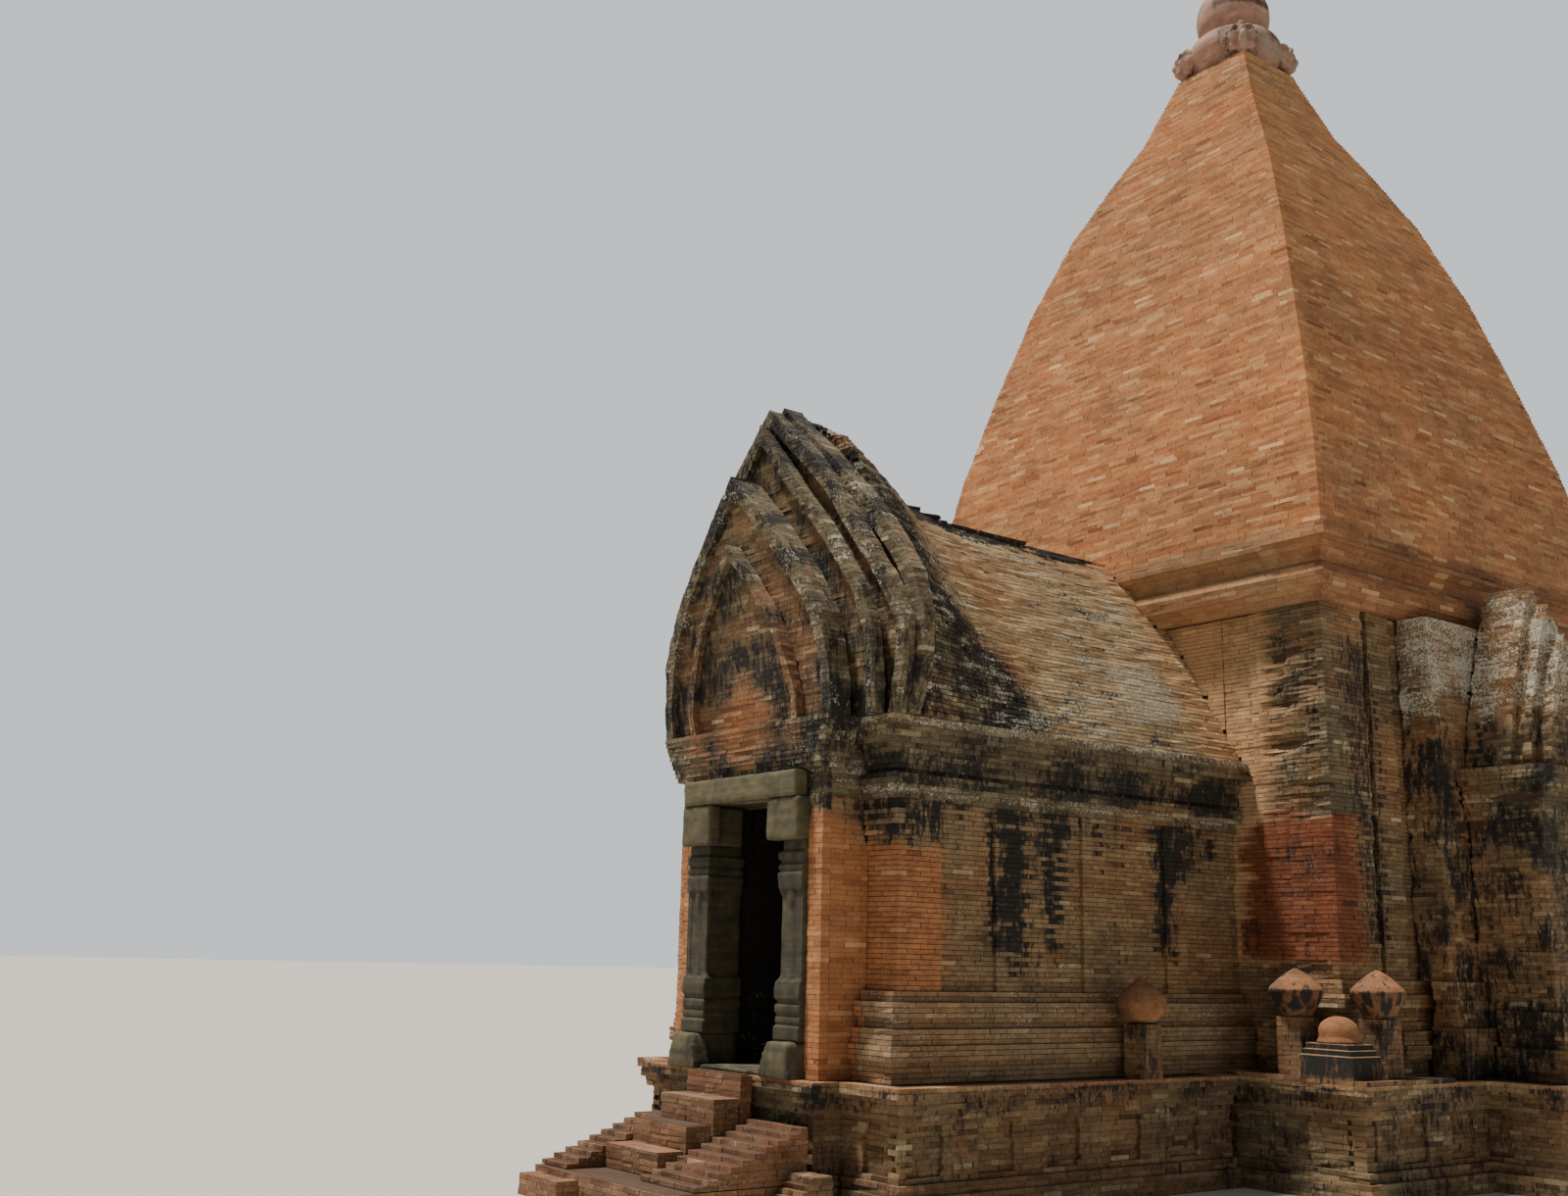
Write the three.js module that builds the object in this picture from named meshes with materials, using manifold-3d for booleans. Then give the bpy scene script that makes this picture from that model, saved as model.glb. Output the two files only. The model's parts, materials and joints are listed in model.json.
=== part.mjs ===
// A brick temple tower with a vaulted entrance hall, built on a plinth and reached by a stair.
// Millimetres, +Z up. The origin is on the ground under the middle of the tower; the door faces -Y.

import * as THREE from 'three';
import { mergeVertices } from 'three/addons/utils/BufferGeometryUtils.js';
import Module from 'manifold-3d';

const wasm = await Module();
wasm.setup();

// Driving dimensions. Heights of mouldings are whole brick courses of 50 mm.
const GAP = 0.3;                 // clearance left where one piece is cut by its neighbour
const LEDGE = 1150;              // top of the plinth
const TOWER = 3070;              // half width of the tower wall
const CELLA = 1600;              // half width of the room in the tower
const WALL_TOP = 6450;
const ROOF_FOOT = 7300;
const ROOF_TOP = 15700;
const SMOKE_HOLE = 150;          // half width of the roof space at its top, under the crown
const HALL = 1670;               // half width of the entrance hall
const HALL_ROOM = 850;           // half width of the room in the hall
const HALL_FRONT = 8280;         // front face of the hall, measured from the middle of the tower
const HALL_BACK = 2970;          // where the hall meets the tower wall
const HALL_WALL_TOP = 3850;
const HALL_SPRING = 4650;        // where the hall's vault starts
const PORTAL = 1260;             // half width of the door portal
const PORTAL_FRONT = 8870;
const STONE_FRONT = 9020;        // front face of the lintel and the capital blocks
const DOOR = 720;                // half width of the passage through the portal
const PASSAGE = 600;             // how far the passage runs on behind the hall's front face
const FLOOR = 1190;
const LINTEL_BOTTOM = 3870;
const LINTEL_TOP = 4130;
const LINTEL = { half: 1000, front: STONE_FRONT + 20 };
const SILL_HALF = 550;
const JAMB = { inner: 660, outer: 1030, front: 8900, back: 8460, low: 1490, top: 3440 };
const JAMB_HEAD = { inner: 510, outer: 1040 };
const BLOCK = { count: 4, halfWidth: 475, rise: 227, run: 309, front: 9214, belowFloor: 25 };
const TREAD = { rise: 50, run: 130 };
const FLIGHTS = { left: { count: 9, front: 10560 }, right: { count: 10, front: 10330 } };
const LANDING = { left: -980, right: 1380, depth: 180 };
const CORNER_STEP = { left: -880, right: -120, depth: 230, below: 55 };
const FOOTING = { halfWidth: 1780, reach: 560, step: 62, count: 6 };
const INNER_DOOR = { half: 620, top: 3500 };

// Each face of the tower wall: [distance from the middle, depth behind the face], corner inwards
const SIDE_STEPS = [[TOWER, 0], [2250, 110], [2130, 30], [1640, 90]];
const FRONT_STEPS = [[TOWER, 0], [2500, 40], [2120, 70], [2010, 100]];

// Roof outline: [half width, height]
const ROOF = [
  [616, ROOF_TOP], [760, 15300], [1010, 14640], [1400, 13900], [1800, 13080], [2250, 11860],
  [2640, 10520], [2970, 9280], [3170, 8300], [3260, ROOF_FOOT],
];

const part = new THREE.Group();

// Materials by the look of the masonry
const LOOKS = {
  newBrick: [0xb5602f, 0.85],
  oldBrick: [0x8a6446, 0.95],
  darkBrick: [0x5d4c3d, 0.97],
  plinthBrick: [0x7d563c, 0.95],
  redBrick: [0x93442b, 0.88],
  stone: [0x7c7062, 0.9],
  carvedStone: [0x9a5c43, 0.85],
};

function add(name, geometry, look) {
  const [color, roughness] = LOOKS[look];
  const material = new THREE.MeshStandardMaterial({ color, roughness, metalness: 0 });
  const mesh = new THREE.Mesh(geometry, material);
  mesh.name = name;
  part.add(mesh);
}

// A boolean solid from a closed geometry, and back
function toSolid(geometry) {
  const bare = geometry.clone();
  bare.deleteAttribute('normal');
  bare.deleteAttribute('uv');
  const merged = mergeVertices(bare, 1e-3);
  return new wasm.Manifold(new wasm.Mesh({
    numProp: 3,
    vertProperties: new Float32Array(merged.attributes.position.array),
    triVerts: new Uint32Array(merged.index.array),
  }));
}

function toGeometry(solid) {
  const { vertProperties, triVerts } = solid.getMesh();
  const geometry = new THREE.BufferGeometry();
  geometry.setAttribute('position', new THREE.BufferAttribute(vertProperties, 3));
  geometry.setIndex(new THREE.BufferAttribute(triVerts, 1));
  geometry.computeVertexNormals();
  return geometry;
}

function join(...geometries) {
  return toGeometry(geometries.map(toSolid).reduce((sum, solid) => sum.add(solid)));
}

function cut(geometry, ...cutters) {
  return toGeometry(cutters.map(toSolid).reduce((rest, solid) => rest.subtract(solid), toSolid(geometry)));
}

// A closed body through rings of points, all with the same number of points
function loft(rings, { closed = false } = {}) {
  const count = rings[0].length;
  const positions = rings.flat(2);
  const index = [];
  const last = closed ? rings.length : rings.length - 1;
  for (let r = 0; r < last; r++) {
    const a = r * count;
    const b = ((r + 1) % rings.length) * count;
    for (let i = 0; i < count; i++) {
      const j = (i + 1) % count;
      index.push(a + i, a + j, b + j, a + i, b + j, b + i);
    }
  }
  if (!closed) {
    const ends = [[0, true], [rings.length - 1, false]];
    for (const [r, flip] of ends) {
      for (const [i, j, k] of capTriangles(rings[r])) {
        const corners = [i, j, k].map((c) => r * count + c);
        index.push(...(flip ? corners.reverse() : corners));
      }
    }
  }
  return facingOut(positions, index);
}

// Triangles over one flat ring, in the direction of its points
function capTriangles(ring) {
  const span = [0, 1, 2].map((axis) => {
    const values = ring.map((point) => point[axis]);
    return Math.max(...values) - Math.min(...values);
  });
  const [u, v] = [0, 1, 2].filter((axis) => axis !== span.indexOf(Math.min(...span)));
  const flat = ring.map((point) => new THREE.Vector2(point[u], point[v]));
  const reversed = THREE.ShapeUtils.isClockWise(flat);
  const contour = reversed ? [...flat].reverse() : flat;
  const turn = (i) => (reversed ? flat.length - 1 - i : i);
  return THREE.ShapeUtils.triangulateShape(contour, []).map((face) => {
    const corners = face.map(turn);
    return reversed ? corners.reverse() : corners;
  });
}

function facingOut(positions, index) {
  const point = (i) => new THREE.Vector3().fromArray(positions, 3 * i);
  let volume = 0;
  for (let i = 0; i < index.length; i += 3) {
    volume += point(index[i]).dot(point(index[i + 1]).cross(point(index[i + 2])));
  }
  const geometry = new THREE.BufferGeometry();
  geometry.setAttribute('position', new THREE.Float32BufferAttribute(positions, 3));
  geometry.setIndex(volume < 0 ? [...index].reverse() : index);
  geometry.computeVertexNormals();
  return geometry;
}

// Prisms over an outline: upright, along Y, along X
const upright = (outline, low, high) => loft([low, high].map((z) => outline.map(([x, y]) => [x, y, z])));
const alongY = (outline, from, to) => loft([from, to].map((y) => outline.map(([x, z]) => [x, y, z])));
const alongX = (outline, from, to) => loft([from, to].map((x) => outline.map(([y, z]) => [x, y, z])));

const box = (x0, x1, y0, y1, z0, z1) => upright([[x0, y0], [x1, y0], [x1, y1], [x0, y1]], z0, z1);
const square = (half, z) => [[-half, -half, z], [half, -half, z], [half, half, z], [-half, half, z]];
const mirrored = (outline) => outline.map(([x, y]) => [-x, y]);

// A slab stack over an outline that grows outwards: [height of its top, extra width] for each course
function courses(outlineAt, low, steps) {
  let floor = low;
  const slabs = steps.map(([top, extra]) => {
    const slab = upright(outlineAt(extra), floor, top);
    floor = top;
    return slab;
  });
  return join(...slabs);
}

// A round piece turned about an upright axis through (x, y): profile of [radius, height]
function turned(profile, sides, x = 0, y = 0) {
  const points = profile.map(([radius, height]) => new THREE.Vector2(radius, height));
  const geometry = new THREE.LatheGeometry(points, sides);
  geometry.rotateX(Math.PI / 2);
  geometry.translate(x, y, 0);
  return toGeometry(toSolid(geometry));
}

// Mouldings: [height above the foot, extra width] for plinth, base and cornice courses
const PLINTH_COURSES = [[200, 130], [300, 60], [850, 0], [950, 50], [1050, 90], [LEDGE, 130]];
const BASE_COURSES = [[1350, 130], [1500, 200], [1650, 170], [1750, 90], [1900, 60], [2050, 120], [2200, 60]];
const HALL_BASE_COURSES = [[1350, 200], [1500, 250], [1650, 210], [1750, 130], [1900, 180], [2000, 90]];
const CORNICE_SLAB = 290;        // how far the top slab of the hall's cornice projects
const HALL_CORNICE = [
  [HALL_WALL_TOP, 40], [3950, 40], [3950, 120], [4000, 155], [4060, 155], [4100, 120], [4100, 50],
  [4150, 50], [4150, 90], [4250, 105], [4350, 150], [4450, 230], [4450, CORNICE_SLAB],
  [HALL_SPRING, CORNICE_SLAB],
];
// Capital of the hall's corner pilasters: [foot, top, how far it projects]
const CORNER_CAPITAL = [[3350, 3500, 25], [3500, 3600, 60], [3600, 3750, 110], [3750, HALL_WALL_TOP, 60]];
const CORNER_ABACUS = [HALL_WALL_TOP, 3950, 110];
const CAPITAL_BACK = 8030;
const PILASTER_RELIEF = 45;

// Tower plinth, with a projecting foot under each false door
const PLINTH = 3670;
const PLINTH_BAY = 1350;
const PLINTH_REACH = 4500;

function plinthOutline(extra) {
  const p = PLINTH + extra;
  const b = PLINTH_BAY + extra;
  const r = PLINTH_REACH + extra;
  return [
    [-p, -p], [p, -p], [p, -b], [r, -b], [r, b], [p, b], [p, p], [b, p], [b, r], [-b, r],
    [-b, p], [-p, p], [-p, b], [-r, b], [-r, -b], [-p, -b],
  ];
}

const PLINTH_JOINT = PLINTH + PLINTH_COURSES[0][1];
const HALL_PLINTH = 2130;
const HALL_PLINTH_FRONT = 8600;
const PORTAL_PLINTH = { halfWidth: PORTAL + 10, front: PORTAL_FRONT + 60 };
const STAIR_BACK = PORTAL_PLINTH.front + PLINTH_COURSES[0][1];

function hallPlinthOutline(extra) {
  const w = HALL_PLINTH + extra;
  const front = -HALL_PLINTH_FRONT - extra;
  const portal = PORTAL_PLINTH.halfWidth + extra;
  const reach = -PORTAL_PLINTH.front - extra;
  return [
    [-w, -PLINTH_JOINT], [-w, front], [-portal, front], [-portal, reach], [portal, reach],
    [portal, front], [w, front], [w, -PLINTH_JOINT],
  ];
}

function plinths() {
  add('tower_plinth', courses(plinthOutline, 0, PLINTH_COURSES), 'plinthBrick');
  add('vestibule_plinth', courses(hallPlinthOutline, 0, PLINTH_COURSES), 'plinthBrick');
  const sill = box(-SILL_HALF, SILL_HALF, -STONE_FRONT, -HALL_FRONT, LEDGE, FLOOR);
  add('door_sill', sill, 'stone');
}

// Stair: broad blocks on the middle line, thin brick treads beside them
function stair() {
  const top = FLOOR - BLOCK.belowFloor;
  const landingTop = top - BLOCK.count * BLOCK.rise;
  const back = (level) => (level === 0 ? STAIR_BACK : BLOCK.front + (level - 1) * BLOCK.run);
  for (let level = 0; level < BLOCK.count; level++) {
    const front = BLOCK.front + level * BLOCK.run;
    const z = top - level * BLOCK.rise;
    const w = BLOCK.halfWidth;
    add(`stair_block_${level + 1}`, box(-w, w, -front, -back(level), landingTop, z), 'redBrick');
  }
  const landingFront = BLOCK.front + BLOCK.count * BLOCK.run + LANDING.depth;
  add('stair_landing', join(
    box(LANDING.left, LANDING.right, -landingFront, -STAIR_BACK, 0, landingTop),
    box(CORNER_STEP.left, CORNER_STEP.right, -landingFront - CORNER_STEP.depth, -landingFront,
      0, landingTop - CORNER_STEP.below),
  ), 'redBrick');

  const flight = ({ count, front }) => {
    const outline = [[-STAIR_BACK, landingTop]];
    for (let k = 0; k < count; k++) {
      const y = -(front - k * TREAD.run);
      outline.push([y, landingTop + k * TREAD.rise], [y, landingTop + (k + 1) * TREAD.rise]);
    }
    outline.push([-STAIR_BACK, landingTop + count * TREAD.rise]);
    return outline;
  };
  const w = BLOCK.halfWidth;
  add('stair_flight_left', alongX(flight(FLIGHTS.left), LANDING.left, -w), 'redBrick');
  add('stair_flight_right', alongX(flight(FLIGHTS.right), w, LANDING.right), 'redBrick');

  // Stepped footing courses of the portal, beside the flights
  const { halfWidth, reach, step, count } = FOOTING;
  const profile = [[0, 0]];
  for (let k = 0; k < count; k++) {
    profile.push([reach - k * step, k * step], [reach - k * step, (k + 1) * step]);
  }
  profile.push([0, count * step]);
  const place = profile.map(([out, z]) => [-(STAIR_BACK + out), z]);
  add('stair_footing_left', alongX(place, -halfWidth, LANDING.left), 'plinthBrick');
  add('stair_footing_right', alongX(place, LANDING.right, halfWidth), 'plinthBrick');
}

// Mouldings of a door jamb, which run round its front and inner faces: [height, how far they project]
const JAMB_MOULDINGS = [
  [JAMB.low, 45], [1630, 45], [1640, 10], [1660, 35], [1710, 35], [1720, 10], [1750, 40], [1830, 40],
  [1840, 15], [1880, 45], [1960, 45], [2110, 0], [2900, 0], [2990, 30], [3110, 40], [3120, 10],
  [3150, 32], [3200, 32], [3210, 8], [3250, 36], [3320, 36], [3330, 0], [JAMB.top, 0],
];

// Front face of a door jamb's base stone: [distance from the middle, height]
const JAMB_FOOT = [
  [560, LEDGE], [1060, LEDGE], [1030, 1300], [1000, JAMB.low], [JAMB.inner, JAMB.low], [610, 1330],
];
const JAMB_FOOT_FRONT = STONE_FRONT + 60;

// Stone door frame: base stones, square moulded jambs, capital blocks and lintel
function doorFrame() {
  const { inner, outer, front, back, low, top } = JAMB;
  for (const [side, sign] of [['left', -1], ['right', 1]]) {
    const foot = JAMB_FOOT.map(([x, z]) => [sign * x, z]);
    const block = (x0, x1, y0, z0, z1) => {
      const [from, to] = [sign * x0, sign * x1].sort((a, b) => a - b);
      return box(from, to, -y0, -back, z0, z1);
    };
    add(`door_base_${side}`, join(
      alongY(foot, -JAMB_FOOT_FRONT, -PORTAL_FRONT),
      block(inner, outer, PORTAL_FRONT + 1, LEDGE, low),
    ), 'stone');
    add(`door_column_${side}`, loft(JAMB_MOULDINGS.map(([z, out]) => [
      [inner - out, -front - out], [outer, -front - out], [outer, -back], [inner - out, -back],
    ].map(([x, y]) => [sign * x, y, z]))), 'stone');
    const head = [JAMB_HEAD.inner, JAMB_HEAD.outer].map((x) => sign * x).sort((a, b) => a - b);
    add(`door_capital_${side}`, join(
      box(...head, -STONE_FRONT, -PORTAL_FRONT, top, LINTEL_BOTTOM),
      block(inner, outer, PORTAL_FRONT + 1, top, LINTEL_BOTTOM),
    ), 'stone');
  }
  const lintel = box(
    -LINTEL.half, LINTEL.half, -LINTEL.front, -PORTAL_FRONT, LINTEL_BOTTOM, LINTEL_TOP,
  );
  add('door_lintel', lintel, 'stone');
}

const RIB_RELIEF = 90;

// Panels of the gable, innermost first. Each leans forward: front = distance of its face at the foot,
// lean = how far the face comes forward per metre of height; points = [half width, height] of its edge.
const GABLES = [
  {
    front: 9010,
    lean: 138,
    rim: 100,
    points: [
      [960, HALL_SPRING], [985, 4850], [930, 5080], [810, 5450], [650, 5800], [330, 6220], [0, 6600],
    ],
  },
  {
    front: 8980,
    lean: 98,
    rim: 150,
    points: [
      [1500, HALL_SPRING], [1515, 4850], [1480, 5200], [1370, 5700], [1030, 6250], [510, 6850], [0, 7370],
    ],
  },
  {
    front: 8720,
    lean: 47,
    rim: 150,
    points: [
      [1850, HALL_SPRING], [1885, 5000], [1820, 5660], [1600, 6080], [1200, 6630], [570, 7360], [0, 8050],
    ],
  },
  {
    front: 8580,
    lean: 47,
    rim: 150,
    points: [
      [2000, HALL_SPRING], [2130, 5100], [2190, 5450], [2060, 5850], [1420, 6730], [850, 7460], [0, 8260],
    ],
  },
  {
    front: 8420,
    lean: 35,
    rim: 170,
    points: [
      [2050, HALL_SPRING], [2220, 5100], [2280, 5600], [2070, 6200], [1720, 6660], [1040, 7380], [0, 8320],
    ],
  },
];

// The right half as a smooth curve from foot to point
function halfCurve(points, steps) {
  const knots = points.map(([x, z]) => new THREE.Vector2(x, z));
  return new THREE.SplineCurve(knots).getSpacedPoints(steps).map((p) => [Math.max(p.x, 0), p.y]);
}

function ogive(points, steps = 9) {
  const right = halfCurve(points, steps);
  right[right.length - 1][0] = 0;
  const left = mirrored(right).reverse().slice(1);
  return [...right, ...left];
}

function shrink(outline, by, foot) {
  const top = Math.max(...outline.map((point) => point[1]));
  const width = Math.max(...outline.map((point) => point[0]));
  const lower = (top - by * 1.5 - foot) / (top - foot);
  return outline.map(([x, z]) => [x * (width - by) / width, foot + (z - foot) * lower]);
}

// A leaning upright plane, as the distance of its point at a height
const leaning = (front, lean) => (z) => front + lean * (z - HALL_SPRING) / 1000;
const between = (outline, near, far) => loft([near, far].map((plane) => (
  outline.map(([x, z]) => [x, -plane(z), z]))));

// One pointed panel of the gable with a raised rib round its edge
function gablePanel({ front, lean, rim, points }, back) {
  const edge = ogive(points);
  const foot = points[0][1];
  const open = 50;
  const field = shrink(edge, rim, foot).map(([x, z]) => [x, z <= foot ? foot - open : z]);
  const recess = between(field, leaning(front + open, lean), leaning(front - RIB_RELIEF, lean));
  return cut(between(edge, leaning(front, lean), back), recess);
}

function gable() {
  GABLES.forEach((panel, i) => {
    const next = GABLES[i + 1];
    const behind = next ? next.front - (i === 0 ? RIB_RELIEF : 0) + GAP : HALL_FRONT;
    const back = leaning(behind, next ? next.lean : 0);
    add(`pediment_${i + 1}`, gablePanel(panel, back), i < 2 ? 'oldBrick' : 'darkBrick');
  });
}

// Portal walls beside the door, and the masonry over the lintel that carries the gable
function portal() {
  for (const [side, sign] of [['left', -1], ['right', 1]]) {
    const outline = [
      [DOOR, -JAMB.back], [JAMB.outer, -JAMB.back], [JAMB.outer, -PORTAL_FRONT], [PORTAL, -PORTAL_FRONT],
      [PORTAL, -HALL_FRONT], [DOOR, -HALL_FRONT],
    ].map(([x, y]) => [sign * x, y]);
    add(`portal_wall_${side}`, upright(outline, LEDGE, LINTEL_BOTTOM), 'newBrick');
  }
  const over = box(-PORTAL, PORTAL, -PORTAL_FRONT, -HALL_FRONT, LINTEL_BOTTOM, LINTEL_TOP);
  // The corbel under the gable: [height, half width, distance of its front]
  const flare = [[LINTEL_TOP, PORTAL + 15, 8930], [4300, 1370, 8960], [HALL_SPRING, 1500, 9020]];
  const cornerLine = HALL_FRONT + CORNICE_SLAB + 5;
  const corbel = loft(flare.map(([z, half, front]) => [
    [-half, -front, z], [half, -front, z], [half, -cornerLine, z], [PORTAL, -cornerLine, z],
    [PORTAL, -HALL_FRONT, z], [-PORTAL, -HALL_FRONT, z], [-PORTAL, -cornerLine, z], [-half, -cornerLine, z],
  ]));
  add('portal_wall_over', join(over, corbel), 'oldBrick');
}

// Pilasters on each side wall of the hall: [front, back]
const HALL_PILASTERS = [[-HALL_FRONT, -7700], [-6950, -6550], [-5650, -5250], [-4300, -3900]];

// Entrance hall: walls with a moulded capital at the corner pilaster, and cornices
function hallWalls() {
  for (const [side, sign] of [['left', -1], ['right', 1]]) {
    const sided = (outline) => outline.map(([x, y]) => [sign * x, y]);
    const outline = (extra) => {
      const w = HALL + extra;
      const front = -HALL_FRONT - extra;
      const step = extra > 0 ? [[PORTAL, front]] : [];
      return sided([
        [DOOR, -HALL_FRONT + PASSAGE], [DOOR, -HALL_FRONT], [PORTAL, -HALL_FRONT], ...step,
        [w, front], [w, -HALL_BACK], [HALL_ROOM, -HALL_BACK], [HALL_ROOM, -HALL_FRONT + PASSAGE],
      ]);
    };
    const shaftLow = HALL_BASE_COURSES.at(-1)[0];
    const shaft = upright(outline(0), shaftLow, HALL_WALL_TOP);
    const foot = courses(outline, LEDGE, HALL_BASE_COURSES);
    const inside = HALL - 40;
    const pilasters = HALL_PILASTERS.map(([y0, y1]) => {
      const [x0, x1] = [sign * inside, sign * (HALL + PILASTER_RELIEF)].sort((a, b) => a - b);
      return box(x0, x1, y0, y1, shaftLow, HALL_WALL_TOP);
    });
    const capital = ([low, high, out]) => {
      const w = HALL + PILASTER_RELIEF + out;
      const front = -HALL_FRONT - out;
      return upright(sided([
        [PORTAL, -HALL_FRONT + 10], [PORTAL, front], [w, front], [w, -CAPITAL_BACK], [inside, -CAPITAL_BACK],
        [inside, -HALL_FRONT + 10],
      ]), low, high);
    };
    const capitals = CORNER_CAPITAL.map(capital);
    add(`vestibule_wall_${side}`, join(shaft, foot, ...pilasters, ...capitals), 'oldBrick');

    const cornice = loft(HALL_CORNICE.map(([z, extra]) => {
      const w = HALL + extra;
      const front = -HALL_FRONT - extra;
      return sided([
        [PORTAL, -HALL_FRONT], [PORTAL, front], [w, front], [w, -HALL_BACK], [HALL_ROOM, -HALL_BACK],
        [HALL_ROOM, -HALL_FRONT],
      ]).map(([x, y]) => [x, y, z]);
    }));
    add(`vestibule_cornice_${side}`, join(cornice, capital(CORNER_ABACUS)), 'darkBrick');
  }
}

// Arch of the hall's room under the vault
const ROOM_ARCH = { point: 6300, roundness: 0.3 };

// Sections of the vault: [distance from the middle of the tower, half width, point height, roundness]
const VAULT = [
  [2600, 1870, 7400, 0], [6000, 1880, 7440, 0.05], [6850, 1900, 7590, 0.25], [7300, 1940, 7850, 0.5],
  [7680, 2000, 8060, 0.7], [8100, 2080, 8220, 0.85], [HALL_FRONT, 2110, 8260, 0.9],
];

function vaultSection(halfWidth, point, roundness) {
  const steps = 10;
  const right = [];
  for (let i = 0; i <= steps; i++) {
    const rise = i / steps;
    const plain = (1 - rise) ** 0.86;
    const bulged = (1 - rise ** 1.9) ** 0.62;
    const share = plain + (bulged - plain) * roundness;
    right.push([halfWidth * share, HALL_SPRING + (point - HALL_SPRING) * rise]);
  }
  right[steps][0] = 0;
  return right;
}

// The pointed vault of the hall, which flares up to the gable
function hallVault() {
  const ring = ([y, halfWidth, point, roundness]) => {
    const outer = vaultSection(halfWidth, point, roundness);
    const inner = vaultSection(HALL_ROOM, ROOM_ARCH.point, ROOM_ARCH.roundness);
    const loop = [
      ...outer, ...mirrored(outer).reverse().slice(1), ...mirrored(inner), ...[...inner].reverse().slice(1),
    ];
    return loop.map(([x, z]) => [x, -y, z]);
  };
  const shell = loft(VAULT.map(ring));
  const wallCutter = box(-2600, 2600, -HALL_BACK - GAP, -2000, 4000, WALL_TOP);
  add('vestibule_vault', cut(shell, wallCutter, corniceEnvelope(GAP), roofEnvelope(GAP)), 'darkBrick');
}

// Tower walls with stepped pilasters; the front one is split beside and over its doorway
function towerWalls() {
  const inner = CELLA;
  const { half: doorHalf, top: doorTop } = INNER_DOOR;
  const hallSide = FRONT_STEPS.at(-1)[0];
  // A face from the corner inwards: [distance from the middle, distance out]
  const faceRun = (steps, extra) => {
    const run = [];
    steps.forEach(([from, depth], i) => {
      if (i > 0) run.push([from, TOWER - steps[i - 1][1] + extra]);
      run.push([i === 0 ? TOWER - depth + extra : from, TOWER - depth + extra]);
    });
    return run;
  };
  // Right wall, from the front end of its room side round by the front, right and back faces
  const sideOutline = (extra) => {
    const start = [[inner, -HALL_BACK], [hallSide, -HALL_BACK]];
    const front = faceRun(FRONT_STEPS, extra).reverse().map(([along, out]) => [along, -out]);
    const side = faceRun(SIDE_STEPS, extra).slice(1);
    const right = side.map(([along, out]) => [out, -along]);
    const rightBack = side.map(([along, out]) => [out, along]).reverse();
    const corner = [[TOWER + extra, TOWER + extra]];
    const back = side.filter(([along]) => along > inner);
    const end = [[inner, TOWER - SIDE_STEPS.at(-1)[1] + extra]];
    return [...start, ...front, ...right, ...rightBack, ...corner, ...back, ...end]
      .filter(([x, y], i, all) => i === 0 || x !== all[i - 1][0] || y !== all[i - 1][1]);
  };
  const shaftLow = BASE_COURSES.at(-1)[0];
  const wall = join(
    upright(sideOutline(0), shaftLow, WALL_TOP),
    courses(sideOutline, LEDGE, BASE_COURSES),
  );
  add('tower_wall_right', wall, 'oldBrick');
  const opposite = toSolid(wall).mirror([1, 0, 0]);
  add('tower_wall_left', toGeometry(opposite), 'oldBrick');

  const backOutline = (extra) => {
    const out = TOWER - SIDE_STEPS.at(-1)[1] + extra;
    return [[-inner, inner], [inner, inner], [inner, out], [-inner, out]];
  };
  add('tower_wall_back', join(
    upright(backOutline(0), shaftLow, WALL_TOP),
    courses(backOutline, LEDGE, BASE_COURSES),
  ), 'oldBrick');
  add('tower_wall_front_left', box(-inner, -doorHalf, -HALL_BACK, -inner, LEDGE, doorTop), 'oldBrick');
  add('tower_wall_front_right', box(doorHalf, inner, -HALL_BACK, -inner, LEDGE, doorTop), 'oldBrick');
  add('tower_wall_front_over', box(-inner, inner, -HALL_BACK, -inner, doorTop, WALL_TOP), 'newBrick');
}

// Faces of the tower: out = away from its middle, along = to the side
const FACES = {
  right: (out, along, z) => [out, along, z],
  back: (out, along, z) => [-along, out, z],
  left: (out, along, z) => [-out, -along, z],
};
const FRONT_FACE = (out, along, z) => [along, -out, z];

// Tower cornice: [height, half width] up its outer face
const CORNICE = [
  [WALL_TOP, 3130], [6550, 3150], [6610, 3250], [6740, 3275], [6850, 3235], [6860, 3150], [6960, 3165],
  [7060, 3230], [7100, 3330], [7150, 3335], [7160, 3290], [ROOF_FOOT, 3290],
];
const CORNER_BLOCK = { from: 2480, to: 3360, low: 7150 };

function corniceEnvelope(extra) {
  return loft(CORNICE.map(([z, half]) => square(half + extra, z)));
}

function roofEnvelope(extra) {
  return loft([...ROOF].reverse().map(([half, z]) => square(half + extra, z)));
}

function towerTop() {
  const rings = CORNICE.map(([z, half]) => square(half, z));
  const ring = loft([...rings, square(CELLA, ROOF_FOOT), square(CELLA, WALL_TOP)], { closed: true });
  const { from, to, low } = CORNER_BLOCK;
  const cornerBlocks = [[-1, -1], [1, -1], [1, 1], [-1, 1]].map(([sx, sy]) => {
    const [x0, x1] = [from * sx, to * sx].sort((a, b) => a - b);
    const [y0, y1] = [from * sy, to * sy].sort((a, b) => a - b);
    return box(x0, x1, y0, y1, low, ROOF_FOOT);
  });
  add('tower_cornice', join(ring, ...cornerBlocks), 'newBrick');

  // One side of the roof, with its mitred ends and the straight slope of the roof space behind it
  const slope = (CELLA - SMOKE_HOLE) / (ROOF_TOP - ROOF_FOOT);
  const side = (place) => loft(ROOF.map(([half, z]) => {
    const room = CELLA - (z - ROOF_FOOT) * slope;
    return [
      place(half, -half + GAP, z), place(half, half - GAP, z), place(room, room - GAP, z),
      place(room, -room + GAP, z),
    ];
  }));
  for (const [face, place] of Object.entries({ ...FACES, front: FRONT_FACE })) {
    add(`tower_roof_${face}`, side(place), 'newBrick');
  }
}

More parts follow.
